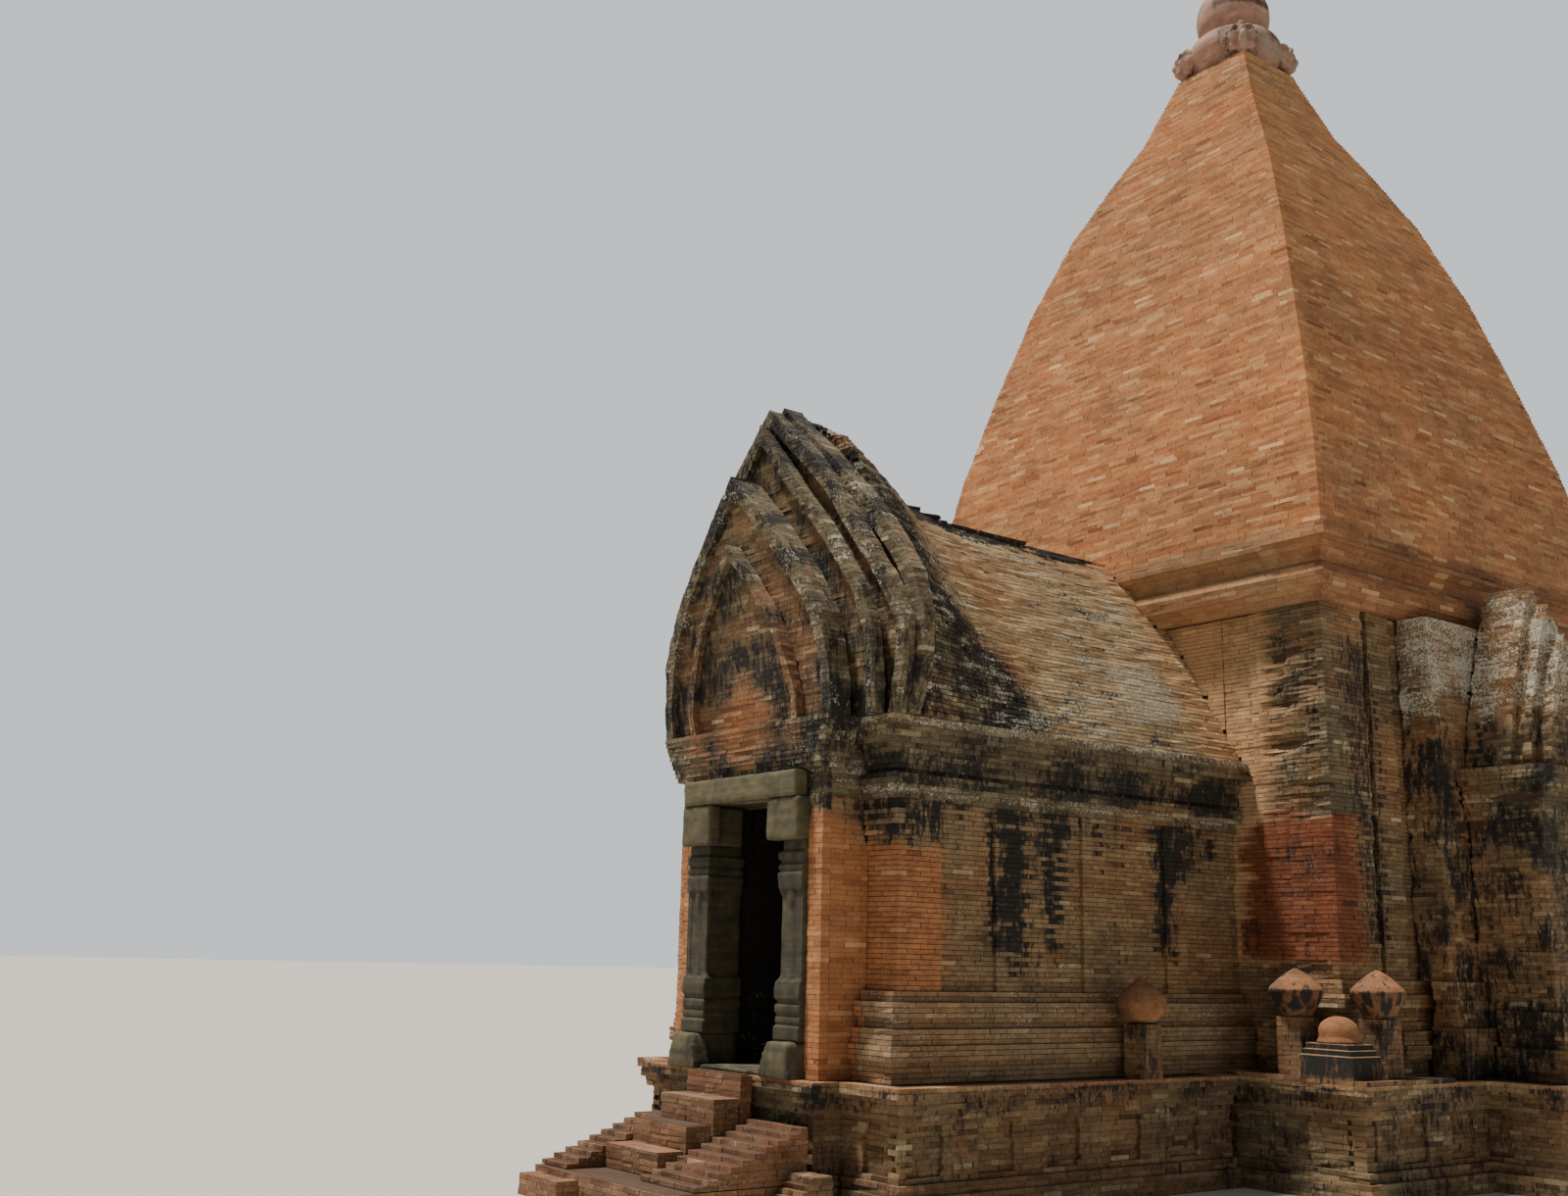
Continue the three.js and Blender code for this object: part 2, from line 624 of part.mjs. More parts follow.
// False doors on the right, back and left faces
const FALSE_DOOR = {
  body: 1450,
  reach: 3400,
  porch: 850,
  porchReach: 3980,
  spring: HALL_SPRING,
  point: 6950,
  roundness: 0.35,
};
const FALSE_DOOR_FOOT = 1700;    // top of the widest base course of a false door

// Arched plates of a false door, outermost last: [scale, point height, reach]
const FALSE_DOOR_PLATES = [[0.86, 6680, 4160], [0.7, 6300, 4330]];

// Porch of a false door: [distance of its back, reach, half width, foot, top] of each course
const PORCH_COURSES = [
  [FALSE_DOOR.reach + 200, 4460, FALSE_DOOR.porch + 150, LEDGE, 1500],
  [FALSE_DOOR.reach + 200, 4380, FALSE_DOOR.porch + 60, 1500, 1900],
  [FALSE_DOOR.reach + 90, 4300, FALSE_DOOR.porch, FALSE_DOOR_FOOT, 4050],
  [FALSE_DOOR.reach, 4300, FALSE_DOOR.porch, 2210, 4050],
  [FALSE_DOOR.reach, 4360, FALSE_DOOR.porch + 60, 4050, 4250],
  [FALSE_DOOR.reach, 4420, FALSE_DOOR.porch + 120, 4250, 4450],
  [FALSE_DOOR.reach, 4480, FALSE_DOOR.porch + 180, 4450, FALSE_DOOR.spring],
];

function falseDoors() {
  const d = FALSE_DOOR;
  const wallFace = TOWER - SIDE_STEPS.at(-1)[1];
  const baseTop = BASE_COURSES.at(-1)[0];
  for (const [face, place] of Object.entries(FACES)) {
    const slab = (out0, out1, half, z0, z1) => loft([z0, z1].map((z) => [
      place(out0, -half, z), place(out1, -half, z), place(out1, half, z), place(out0, half, z),
    ]));
    const baseOut = wallFace + Math.max(...BASE_COURSES.map(([, extra]) => extra)) + GAP;
    add(`false_door_body_${face}`, join(
      slab(wallFace, d.reach, d.body, baseTop, WALL_TOP),
      slab(baseOut, d.reach + 200, d.body + 120, LEDGE, FALSE_DOOR_FOOT),
      slab(baseOut, d.reach + 90, d.body + 60, FALSE_DOOR_FOOT, baseTop),
      slab(baseOut, d.reach, d.body, baseTop - 10, baseTop + 10),
    ), 'darkBrick');

    const section = vaultSection(d.porch, d.point, d.roundness);
    const arch = [...section, ...mirrored(section).reverse().slice(1)];
    const scaled = (scale, point) => arch.map(([along, z]) => [
      along * scale, d.spring + (z - d.spring) * (point - d.spring) / (d.point - d.spring),
    ]);
    const plate = (outline, out0, out1) => loft([out0, out1].map((out) => (
      outline.map(([along, z]) => place(out, along, z)))));
    let plateBack = d.porchReach;
    const plates = FALSE_DOOR_PLATES.map(([scale, point, reach]) => {
      const solid = plate(scaled(scale, point), plateBack, reach);
      plateBack = reach;
      return solid;
    });
    add(`false_door_vault_${face}`, join(plate(arch, d.reach + GAP, d.porchReach), ...plates), 'darkBrick');
    add(`false_door_porch_${face}`, join(
      ...PORCH_COURSES.map(([back, ...size]) => slab(back + GAP, ...size)),
    ), 'darkBrick');
  }
}

// Crowning stone: [radius, height] up a bulging ring with a carved knob at each corner, and up its head
const CROWN_SEAT = 16370;
const CROWN_RING = [
  [0, ROOF_TOP], [500, ROOF_TOP], [545, 15760], [660, 15870], [715, 16010], [705, 16150], [630, 16290],
  [480, CROWN_SEAT], [0, CROWN_SEAT],
];
const CROWN_KNOB = { radius: 180, place: 520, height: 15930 };
const CROWN_HEAD = [
  [0, CROWN_SEAT], [420, CROWN_SEAT], [500, 16470], [545, 16610], [550, 16750], [525, 16900], [440, 17070],
  [280, 17250], [110, 17340], [0, 17360],
];

function crown() {
  const knobs = [[-1, -1], [1, -1], [1, 1], [-1, 1]].map(([sx, sy]) => {
    const { radius, place, height } = CROWN_KNOB;
    const knob = new THREE.SphereGeometry(radius, 8, 6);
    knob.rotateX(Math.PI / 2);
    knob.translate(place * sx, place * sy, height);
    return knob;
  });
  add('crown_ring', join(turned(CROWN_RING, 16), ...knobs), 'carvedStone');
  add('crown_head', turned(CROWN_HEAD, 16), 'carvedStone');
}

// Buds on posts, at the corners of the plinth and beside the hall: [radius, height over the post]
const RIMMED_BUD = [
  [0, -30], [175, -30], [190, 20], [250, 130], [285, 205], [290, 240], [262, 285], [130, 400], [0, 470],
];
const ONION_BUD = [
  [0, -30], [150, -30], [235, 60], [265, 130], [255, 200], [190, 290], [90, 370], [35, 430], [0, 450],
];
const CORNER_BUD = { bud: RIMMED_BUD, half: 160, height: 640 };
const HALL_BUD = { bud: ONION_BUD, half: 140, height: 600, x: 2135, y: -5240 };

// Small stupa at each corner: its block and slabs [half width, half depth, bottom, top], and its dome
// [radius, height]
const STUPA_SLABS = [[315, 250, 0, 230], [290, 240, 230, 290], [265, 230, 290, 350]];
const STUPA_DOME = [
  [0, 350], [225, 350], [222, 380], [205, 425], [203, 500], [160, 570], [80, 615], [0, 625],
];
const STUPA_BASE = { thickness: 50, from: 2150, inner: TOWER + 215, outer: PLINTH + 125 };

// Places of the small stupa and of the buds in front of and behind it, from the middle of the tower
const STUPA_PLACE = [3330, 3540];
const BUD_PLACES = [[2830, 3540], [3490, 3030]];

function budPost(x, y, foot, { bud, half, height }) {
  const profile = bud.map(([radius, rise]) => [radius, foot + height + rise]);
  return join(box(x - half, x + half, y - half, y + half, foot, profile[0][1]), turned(profile, 12, x, y));
}

function stupa(x, y, foot) {
  const slabs = STUPA_SLABS.map(([half, deep, low, high]) => (
    box(x - half, x + half, y - deep, y + deep, foot + low, foot + high)));
  return join(...slabs, turned(STUPA_DOME.map(([radius, rise]) => [radius, foot + rise]), 12, x, y));
}

function ornaments() {
  const { thickness, from, inner, outer } = STUPA_BASE;
  const top = LEDGE + thickness;
  for (const [name, sx, sy] of [
    ['front_right', 1, -1], ['back_right', 1, 1], ['back_left', -1, 1], ['front_left', -1, -1],
  ]) {
    const base = [
      [from, inner], [from, outer], [outer, outer], [outer, from], [inner, from], [inner, inner],
    ].map(([x, y]) => [sx * x, sy * y]);
    add(`corner_stupas_${name}`, join(
      upright(base, LEDGE, top),
      stupa(sx * STUPA_PLACE[0], sy * STUPA_PLACE[1], top),
      ...BUD_PLACES.map(([x, y]) => budPost(sx * x, sy * y, top, CORNER_BUD)),
    ), 'newBrick');
  }
  for (const [side, sign] of [['left', -1], ['right', 1]]) {
    add(`vestibule_bud_${side}`, budPost(sign * HALL_BUD.x, HALL_BUD.y, LEDGE, HALL_BUD), 'newBrick');
  }
}

plinths();
stair();
doorFrame();
portal();
gable();
hallWalls();
hallVault();
towerWalls();
towerTop();
falseDoors();
crown();
ornaments();

export default part;
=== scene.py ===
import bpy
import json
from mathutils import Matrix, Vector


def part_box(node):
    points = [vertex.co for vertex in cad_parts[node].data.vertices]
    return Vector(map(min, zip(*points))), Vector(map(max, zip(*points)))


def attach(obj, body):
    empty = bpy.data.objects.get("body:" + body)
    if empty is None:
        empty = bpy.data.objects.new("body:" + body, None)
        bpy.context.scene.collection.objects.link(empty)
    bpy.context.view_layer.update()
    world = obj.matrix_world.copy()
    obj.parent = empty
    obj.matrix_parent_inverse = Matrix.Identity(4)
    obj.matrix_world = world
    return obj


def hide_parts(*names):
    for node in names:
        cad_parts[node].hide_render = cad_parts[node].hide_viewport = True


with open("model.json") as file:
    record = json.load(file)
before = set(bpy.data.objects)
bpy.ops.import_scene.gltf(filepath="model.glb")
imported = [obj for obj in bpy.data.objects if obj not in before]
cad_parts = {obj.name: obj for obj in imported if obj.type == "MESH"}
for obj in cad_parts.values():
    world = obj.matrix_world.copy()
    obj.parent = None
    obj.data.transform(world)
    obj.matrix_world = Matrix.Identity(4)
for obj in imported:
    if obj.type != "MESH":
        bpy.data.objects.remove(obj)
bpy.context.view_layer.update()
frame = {"nodes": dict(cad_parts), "record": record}

# A brick temple tower with its entrance hall, laid course by course around the measured solids.

import json
import math
from itertools import product

import bmesh
import bpy
import numpy as np
from mathutils import Matrix, Vector
from mathutils.bvhtree import BVHTree

SEED = 7

# Brickwork, in metres
COURSE = 0.050           # height of a course with its bed joint
BRICK = 0.28             # usual length of a brick
BED = 0.0025             # open bed joint
JOINT = 0.003            # open cross joint
DEPTH = 0.11             # how far a facing brick reaches into the wall
TURN = 0.25              # sine of the smallest angle that counts as a corner

SHORTEST = 0.07          # shortest piece of a brick beside a corner
LEAST = 0.02             # shortest stretch of wall, and thinnest facing, that is laid at all
THINNEST = 0.012         # lowest course that is laid at the top or foot of a solid
TUCK = 0.03              # how far a course runs behind the masonry that projects beside it
TOP_JOINT = 0.006        # how far the core lies below the top of its facing bricks
TOUCH = 0.02             # how near another solid has to lie to hide a wall

# Panels of the plinths: bottom, top, distance between middles, width, and how far they stand back
PANELS = (0.35, 0.8, 0.92, 0.46, 0.045)

NODES = frame["nodes"]
ROOMS = [box["box_m"] for box in frame["record"]["physics"]["openings"] if box["name"] != "doorway"]
SLOTS = {part["node"]: part["material_slot"] for part in frame["record"]["subparts"]}


# Colours and shader nodes

def linear(hex_colour):
    """Linear RGBA of an sRGB hex colour."""
    channels = [int(hex_colour[i:i + 2], 16) / 255 for i in (1, 3, 5)]
    return [c / 12.92 if c <= 0.04045 else ((c + 0.055) / 1.055) ** 2.4 for c in channels] + [1.0]


def add_node(tree, kind, inputs=None, colours=(), **settings):
    """A shader node with its settings, and its inputs given as values or as sockets to link.

    A colour ramp has its colours too, spread evenly from 0 to 1.
    """
    node = tree.nodes.new(kind)
    for key, value in settings.items():
        setattr(node, key, value)
    for key, value in (inputs or {}).items():
        if isinstance(value, bpy.types.NodeSocket):
            tree.links.new(value, node.inputs[key])
        else:
            node.inputs[key].default_value = value
    for _ in colours[2:]:
        node.color_ramp.elements.new(0.5)
    for i, colour in enumerate(colours):
        node.color_ramp.elements[i].position = i / (len(colours) - 1)
        node.color_ramp.elements[i].color = linear(colour)
    return node


def new_material(name, roughness):
    """A material with its shader, and its Object coordinates."""
    material = bpy.data.materials.new(name)
    material.use_nodes = True
    tree = material.node_tree
    shader = tree.nodes["Principled BSDF"]
    shader.inputs["Roughness"].default_value = roughness
    place = add_node(tree, "ShaderNodeTexCoord").outputs["Object"]
    return material, tree, shader, place


def spots(tree, place, size_mm, detail, roughness, stretch=(1, 1, 1)):
    """Cloudy spots from 0 to 1 that are size_mm across, longer along an axis whose stretch is more."""
    placed = add_node(tree, "ShaderNodeMapping", {"Vector": place, "Scale": [1 / s for s in stretch]})
    scale = 1000 / size_mm
    return add_node(tree, "ShaderNodeTexNoise", {
        "Vector": placed.outputs["Vector"], "Scale": scale, "Detail": detail, "Roughness": roughness,
    }).outputs["Fac"]


def broken_up(tree, name, noise, gain=1.0):
    """A value that stain() has stored on the mesh, made more in some spots and less in others."""
    stored = add_node(tree, "ShaderNodeAttribute", attribute_name=name).outputs["Fac"]
    swing = add_node(tree, "ShaderNodeMath", {0: noise, 1: 0.5}, operation="SUBTRACT").outputs[0]
    values = {0: swing, 1: gain, 2: stored}
    return add_node(tree, "ShaderNodeMath", values, operation="MULTIPLY_ADD").outputs[0]


def grown_over(tree, colour, name, noise, gain, low, high, cover):
    """A colour under the cover that a stored value brings where it passes from low to high."""
    share = add_node(tree, "ShaderNodeMapRange", {
        "Value": broken_up(tree, name, noise, gain), "From Min": low, "From Max": high,
    }, interpolation_type="SMOOTHSTEP").outputs["Result"]
    layers = {0: share, 6: colour, 7: linear(cover)}
    return add_node(tree, "ShaderNodeMix", layers, data_type="RGBA").outputs[2]


def add_relief(tree, shader, relief_mm, coarse, fine=0.0, share=0.0):
    """Bumps relief_mm high where the coarse spots are 1, with a share of the fine spots on them."""
    height = add_node(tree, "ShaderNodeMath", {0: fine, 1: share, 2: coarse}, operation="MULTIPLY_ADD")
    bump = add_node(tree, "ShaderNodeBump", {
        "Height": height.outputs[0], "Distance": relief_mm / 1000, "Strength": 0.8,
    })
    tree.links.new(bump.outputs["Normal"], shader.inputs["Normal"])


# Materials

# Colours of bricks, from the darkest to the lightest of a kiln
YOUNG = ["#8a522d", "#ac6a3e", "#bc7d4c", "#cb925f", "#dfb888"]
OLD = ["#32291e", "#4d422e", "#645840", "#7d7457", "#a8a080"]
RED = ["#45220f", "#5f2f18", "#743d22", "#874c2c", "#a0663f"]


def clay(name, young, relief_mm, mottle=0.3):
    """Hand-moulded bricks of fired clay, laid with hardly any mortar.

    young holds the colours of new bricks. The attribute shade gives each brick its own kiln shade, age
    turns new clay to old, red makes it hard-fired, dust rubs it pale, soot brings a black
    crust for soot and for painted shade, and lichen a pale scurf in specks.
    """
    material, tree, shader, place = new_material(name, 0.9)
    smear = broken_up(tree, "shade", spots(tree, place, 25, detail=6, roughness=0.7), 1.1)
    colour, worn, fired = (
        add_node(tree, "ShaderNodeValToRGB", {"Fac": smear}, colours=kiln).outputs["Color"]
        for kiln in (young, OLD, RED)
    )
    for stored, cover in (("age", worn), ("red", fired), ("dust", linear("#c8aa80"))):
        share = add_node(tree, "ShaderNodeAttribute", attribute_name=stored).outputs["Fac"]
        layers = {0: share, 6: colour, 7: cover}
        colour = add_node(tree, "ShaderNodeMix", layers, data_type="RGBA").outputs[2]

    # Broad patches are lighter or darker, and each brick is mottled
    cloud = add_node(tree, "ShaderNodeMapRange", {
        "Value": spots(tree, place, 350, detail=5, roughness=0.65),
        "From Min": 0.3, "From Max": 0.7, "To Min": 0.78, "To Max": 1.16,
    }).outputs["Result"]
    grime = add_node(tree, "ShaderNodeMapRange", {
        "Value": spots(tree, place, 80, detail=8, roughness=0.8, stretch=(1.5, 1.5, 1)),
        "From Min": 0.35, "From Max": 0.65, "To Min": 1 - mottle, "To Max": 1 + mottle,
    }).outputs["Result"]
    shade = add_node(tree, "ShaderNodeMath", {0: cloud, 1: grime}, operation="MULTIPLY").outputs[0]
    tint = add_node(tree, "ShaderNodeCombineColor", {0: shade, 1: shade, 2: shade}).outputs["Color"]
    layers = {0: 1.0, 6: colour, 7: tint}
    colour = add_node(tree, "ShaderNodeMix", layers, data_type="RGBA", blend_type="MULTIPLY").outputs[2]

    # Black crust creeps from the joints and runs down the wall, and also darkens where shade is painted;
    # lichen sits in specks and small plates
    runs = spots(tree, place, 60, detail=6, roughness=0.75, stretch=(1, 1, 4))
    specks = spots(tree, place, 28, detail=8, roughness=0.75)
    colour = grown_over(tree, colour, "soot", runs, 1.7, 0.36, 0.66, "#1f1b18")
    colour = grown_over(tree, colour, "lichen", specks, 2.8, 0.5, 0.74, "#bcb6a4")
    tree.links.new(colour, shader.inputs["Base Color"])

    scars = spots(tree, place, 45, detail=6, roughness=0.7, stretch=(1.6, 1.6, 1))
    pits = spots(tree, place, 6, detail=8, roughness=0.7)
    add_relief(tree, shader, relief_mm, scars, pits, 0.35)
    return material


def rubble(name, colours):
    """Clay dust, old mortar and broken brick behind the facing: dull, rough, without clear bricks."""
    material, tree, shader, place = new_material(name, 0.95)
    lumps = spots(tree, place, 90, detail=8, roughness=0.7)
    dust = add_node(tree, "ShaderNodeValToRGB", {"Fac": lumps}, colours=colours).outputs["Color"]
    brick = add_node(tree, "ShaderNodeTexBrick", {
        "Vector": place, "Scale": 1.0, "Mortar Size": 0.006, "Brick Width": BRICK, "Row Height": DEPTH,
        "Color1": linear(colours[1]), "Color2": linear(colours[2]), "Mortar": linear(colours[0]),
    }).outputs["Color"]
    colour = add_node(tree, "ShaderNodeMix", {0: 0.5, 6: dust, 7: brick}, data_type="RGBA").outputs[2]
    tree.links.new(colour, shader.inputs["Base Color"])
    add_relief(tree, shader, 12, lumps)
    return material


def sandstone(name, colours):
    """Cut sandstone: fine sand grain, cloudy bedding, dark runs where rain has washed it.

    The attribute shade makes a stone lighter, soot darkens its runs for soot and for painted shade, and
    lichen greys it.
    """
    material, tree, shader, place = new_material(name, 0.85)
    bedding = broken_up(tree, "shade", spots(tree, place, 220, detail=6, roughness=0.65, stretch=(1, 1, 0.5)))
    colour = add_node(tree, "ShaderNodeValToRGB", {"Fac": bedding}, colours=colours).outputs["Color"]
    specks = spots(tree, place, 40, detail=8, roughness=0.75)
    runs = spots(tree, place, 90, detail=6, roughness=0.7, stretch=(1, 1, 5))
    colour = grown_over(tree, colour, "lichen", specks, 1.0, 0.35, 0.8, "#8b8778")
    colour = grown_over(tree, colour, "soot", runs, 1.0, 0.25, 0.75, "#221f18")
    tree.links.new(colour, shader.inputs["Base Color"])

    worn = spots(tree, place, 60, detail=7, roughness=0.7)
    grain = spots(tree, place, 5, detail=4, roughness=0.8)
    add_relief(tree, shader, 3, worn, grain, 0.3)
    return material


MATERIALS = {
    # Clean orange, even from afar, with sandy faces: the rebuilt roof, cornice and portal
    "new_brick": clay("hand_moulded_clay_brick_new", YOUNG, 3, mottle=0.1),
    # Brown and tan with black streaks, mottled within each brick: walls and the front of the gable
    "old_brick": clay("hand_moulded_clay_brick_weathered", YOUNG, 6),
    # The same clay, pitted deepest under its crust: back of the gable, vault and false doors
    "dark_brick": clay("hand_moulded_clay_brick_black_crusted", YOUNG, 8),
    # Brown, dull and damp: the foot of the building
    "plinth_brick": clay("hand_moulded_clay_brick_damp", YOUNG, 6),
    # Dark red and rubbed smooth by use
    "stair_brick": clay("hard_fired_red_brick", RED, 3),
    # Dark, dusty gaps behind lost bricks
    "core": rubble("brick_rubble_and_clay_mortar", ["#2c221b", "#4a3627", "#5d4431"]),
    # Olive grey blocks with tool-worn faces and dark runs, darker below the lintel as painted shade
    "door_stone": sandstone("cut_grey_sandstone", ["#332f21", "#4c4630", "#655d41", "#837855"]),
    # Rosy carving, darker on its far side as painted shade, with grey lichen there
    "crown_stone": sandstone("carved_red_sandstone", ["#6b4f44", "#8d6a5a", "#a8836f", "#c0a28a"]),
}


# Repeatable noise for shapes and stains

def hashed(cells, seed):
    """A random value from 0 to 1 for each lattice cell."""
    n = cells[..., 0] * 73856093 ^ cells[..., 1] * 19349663 ^ cells[..., 2] * 83492791 ^ seed * 2654435761
    n = (n ^ (n >> 13)) * 1274126177
    n = n ^ (n >> 16)
    return (n & 0xFFFFFF) / 0xFFFFFF


def drift(points, size, seed):
    """Smooth noise from -1 to 1 with patches of the given size, one number or one for each axis."""
    scaled = points / np.asarray(size, float)
    base = np.floor(scaled).astype(np.int64)
    part = scaled - base
    part = part * part * (3 - 2 * part)
    total = np.zeros(len(points))
    for corner in product((0, 1), repeat=3):
        weight = np.prod(np.where(corner, part, 1 - part), axis=1)
        total += weight * hashed(base + np.array(corner), seed)
    return total * 2 - 1


def ramp(value, low, high):
    """0 below low, 1 above high, smooth between. With low above high it falls."""
    share = np.clip((value - low) / (high - low), 0, 1)
    return share * share * (3 - 2 * share)


def band(value, low, high, soft=0.08):
    """1 between low and high, 0 outside them."""
    return ramp(value, low - soft, low + soft) * ramp(value, high + soft, high - soft)


# Outlines of the solids, course by course

def node_mesh(name):
    """Corners and triangles of a CAD node."""
    mesh = NODES[name].data
    points = np.empty(len(mesh.vertices) * 3)
    mesh.vertices.foreach_get("co", points)
    mesh.calc_loop_triangles()
    faces = np.empty(len(mesh.loop_triangles) * 3, int)
    mesh.loop_triangles.foreach_get("vertices", faces)
    return points.reshape(-1, 3), faces.reshape(-1, 3)


class Edge:
    """A straight stretch of an outline, which has the solid on its left."""

    def __init__(self, start, end, slope):
        self.start = start
        self.end = end
        self.length = float(np.hypot(*(end - start)))
        self.along = (end - start) / self.length
        self.out = np.array([self.along[1], -self.along[0]])
        self.slope = slope
        self.depth = DEPTH
        self.hidden = False


def outline_loops(points, faces, z):
    """Closed loops of edges where the solid is cut at height z."""
    corners = points[faces]
    above = corners[:, :, 2] > z
    count = above.sum(1)
    hit = (count == 1) | (count == 2)
    corners, above, count = corners[hit], above[hit], count[hit]
    if len(corners) == 0:
        return []
    alone = np.where(count == 1, above.argmax(1), (~above).argmax(1))
    rows = np.arange(len(corners))
    lone = corners[rows, alone]
    ends = []
    for step in (1, 2):
        other = corners[rows, (alone + step) % 3]
        share = (z - lone[:, 2]) / (other[:, 2] - lone[:, 2])
        ends.append((lone + (other - lone) * share[:, None])[:, :2])
    normal = np.cross(corners[:, 1] - corners[:, 0], corners[:, 2] - corners[:, 0])
    run = ends[1] - ends[0]
    turned = run[:, 1] * normal[:, 0] - run[:, 0] * normal[:, 1] < 0
    start = np.where(turned[:, None], ends[1], ends[0])
    end = np.where(turned[:, None], ends[0], ends[1])
    kept = np.hypot(*(end - start).T) > 2e-5
    start, end, normal = start[kept], end[kept], normal[kept]
    flat = np.hypot(normal[:, 0], normal[:, 1])
    slope = -normal[:, 2] / np.maximum(flat, 1e-9)
    gap = np.abs(end[:, None] - start[None]).sum(2)
    follower = gap.argmin(1)
    loops, left = [], set(range(len(start)))
    while left:
        first = min(left)
        chain, at = [], first
        while at in left:
            left.discard(at)
            chain.append(at)
            at = int(follower[at])
        loops.append(merge_straight([Edge(start[i], end[i], slope[i]) for i in chain]))
    return [loop for loop in loops if len(loop) > 2]


def in_line(a, b):
    """True where an edge carries on another straight and at its slope."""
    return a.along @ b.along > 0.9995 and abs(a.slope - b.slope) < 0.05


def merge_straight(chain):
    """One edge for each run of edges in one line."""
    same = [in_line(a, b) for a, b in zip(chain, chain[1:] + chain[:1])]
    if all(same):
        return chain
    first = (same.index(False) + 1) % len(chain)
    chain = chain[first:] + chain[:first]
    merged = [chain[0]]
    for edge in chain[1:]:
        last = merged[-1]
        if in_line(last, edge):
            merged[-1] = Edge(last.start, edge.end, last.slope)
        else:
            merged.append(edge)
    return merged


def whole_tree():
    """All CAD solids as one tree for ray tests."""
    points, faces, offset = [], [], 0
    for name in sorted(NODES):
        corners, triangles = node_mesh(name)
        points.append(corners)
        faces.append(triangles + offset)
        offset += len(corners)
    return BVHTree.FromPolygons(np.concatenate(points).tolist(), np.concatenate(faces).tolist())


SOLIDS = whole_tree()


def covered(point, direction):
    """True where another solid lies against this point of a wall."""
    direction = Vector(direction)
    origin = Vector(point) + direction * 2e-4
    reach = TOUCH
    while reach > 0:
        hit, normal, _, distance = SOLIDS.ray_cast(origin, direction, reach)
        if hit is None:
            return False
        if normal.dot(direction) < 0:
            return True
        origin = hit + direction * 1e-4
        reach -= distance + 1e-4
    return False


def indoors(x, y, z):
    """True inside a room or the roof space, from 0.2 m outside its stated opening."""
    margin = 0.2
    return any(low[0] - margin < x < high[0] + margin and low[1] - margin < y < high[1] + margin
               and low[2] - 0.15 < z < high[2] + 0.15 for low, high in ROOMS)


def set_depth(loops, depth):
    """Bricks reach in by the given depth, or in a thin wall to its middle."""
    edges = [edge for loop in loops for edge in loop]
    starts = np.array([edge.start for edge in edges])
    runs = np.array([edge.end - edge.start for edge in edges])
    for edge in edges:
        middle = (edge.start + edge.end) / 2
        inward = -edge.out
        cross = inward[0] * runs[:, 1] - inward[1] * runs[:, 0]
        cross = np.where(np.abs(cross) < 1e-9, np.nan, cross)
        offset = starts - middle
        distance = (offset[:, 0] * runs[:, 1] - offset[:, 1] * runs[:, 0]) / cross
        share = (offset[:, 0] * inward[1] - offset[:, 1] * inward[0]) / cross
        met = distance[(distance > 0.005) & (share >= -1e-6) & (share <= 1 + 1e-6)]
        room = 0.48 * met.min() if len(met) else depth
        edge.depth = float(min(depth, max(LEAST, room)))


def corner_gap(before, after, odd):
    """How far each of two edges stays back from their corner, so that one shows the other's brick end."""
    if float(np.cross(before.along, after.along)) < TURN or before.hidden or after.hidden:
        return 0.0, 0.0
    short = DEPTH + JOINT
    narrow = 2 * short + 0.08
    if min(before.length, after.length) < short:
        first_owns = before.length > after.length
    elif min(before.length, after.length) < narrow:
        first_owns = before.length < after.length
    else:
        first_owns = odd
    return (0.0, before.depth + JOINT) if first_owns else (after.depth + JOINT, 0.0)


def brick_marks(start, end, middle, odd, rng):
    """Where bricks meet from start to end of a stretch of wall, in running bond about its middle."""
    marks = [start, end]
    position = middle + BRICK * (0.5 * odd + rng.uniform(-0.1, 0.1))
    position -= math.floor((position - start) / BRICK) * BRICK
    while position < end - SHORTEST:
        if position > start + SHORTEST:
            marks.append(position + rng.uniform(-0.03, 0.03))
        position += BRICK * rng.uniform(0.85, 1.15)
    return sorted(marks)


def lay_course(loops, low, high, course, rng, rows, depth=DEPTH):
    """Bricks of one course as rows of numbers.

    Each row holds the edge's start and direction, where the brick begins and ends along it, its heights,
    the slope of the wall, the depth, whether its ends show at a corner, how far it stands back, and the
    slopes of the walls round the corners at its ends.
    """
    middle = (low + high) / 2
    set_depth(loops, depth)
    for loop in loops:
        for edge in loop:
            out = (*edge.out, 0)
            spots = [edge.start + (edge.end - edge.start) * share for share in (0.05, 0.35, 0.65, 0.95)]
            edge.hidden = all(covered((*spot, middle), out) for spot in spots)
        for i, edge in enumerate(loop):
            if edge.hidden:
                continue
            before, after = loop[i - 1], loop[(i + 1) % len(loop)]
            start = corner_gap(before, edge, (course + i) % 2 == 0)[1]
            end = edge.length - corner_gap(edge, after, (course + (i + 1) % len(loop)) % 2 == 0)[0]
            if end - start < LEAST:
                continue
            turn_in = float(np.cross(before.along, edge.along))
            turn_out = float(np.cross(edge.along, after.along))
            shows_start = start == 0 and turn_in > TURN
            shows_end = end == edge.length and turn_out > TURN
            start -= TUCK if turn_in < -TURN else 0.0
            end += TUCK if turn_out < -TURN else 0.0
            marks = brick_marks(start, end, edge.length / 2, course % 2, rng)
            for a, b in zip(marks, marks[1:]):
                spots = [edge.start + edge.along * s for s in ((a + b) / 2, a + 0.01, b - 0.01)]
                if indoors(*(spots[0] + edge.out * 0.05), middle):
                    continue
                if all(covered((*spot, middle), (*edge.out, 0)) for spot in spots):
                    continue
                near = a + (JOINT / 2 if a > start else 0.0)
                far = b - (JOINT / 2 if b < end else 0.0)
                at_start, at_end = shows_start and a == start, shows_end and b == end
                rows.append([
                    *edge.start, *edge.along, near, far, low, high, edge.slope, edge.depth,
                    at_start, at_end, 0.0, at_start * before.slope, at_end * after.slope,
                ])


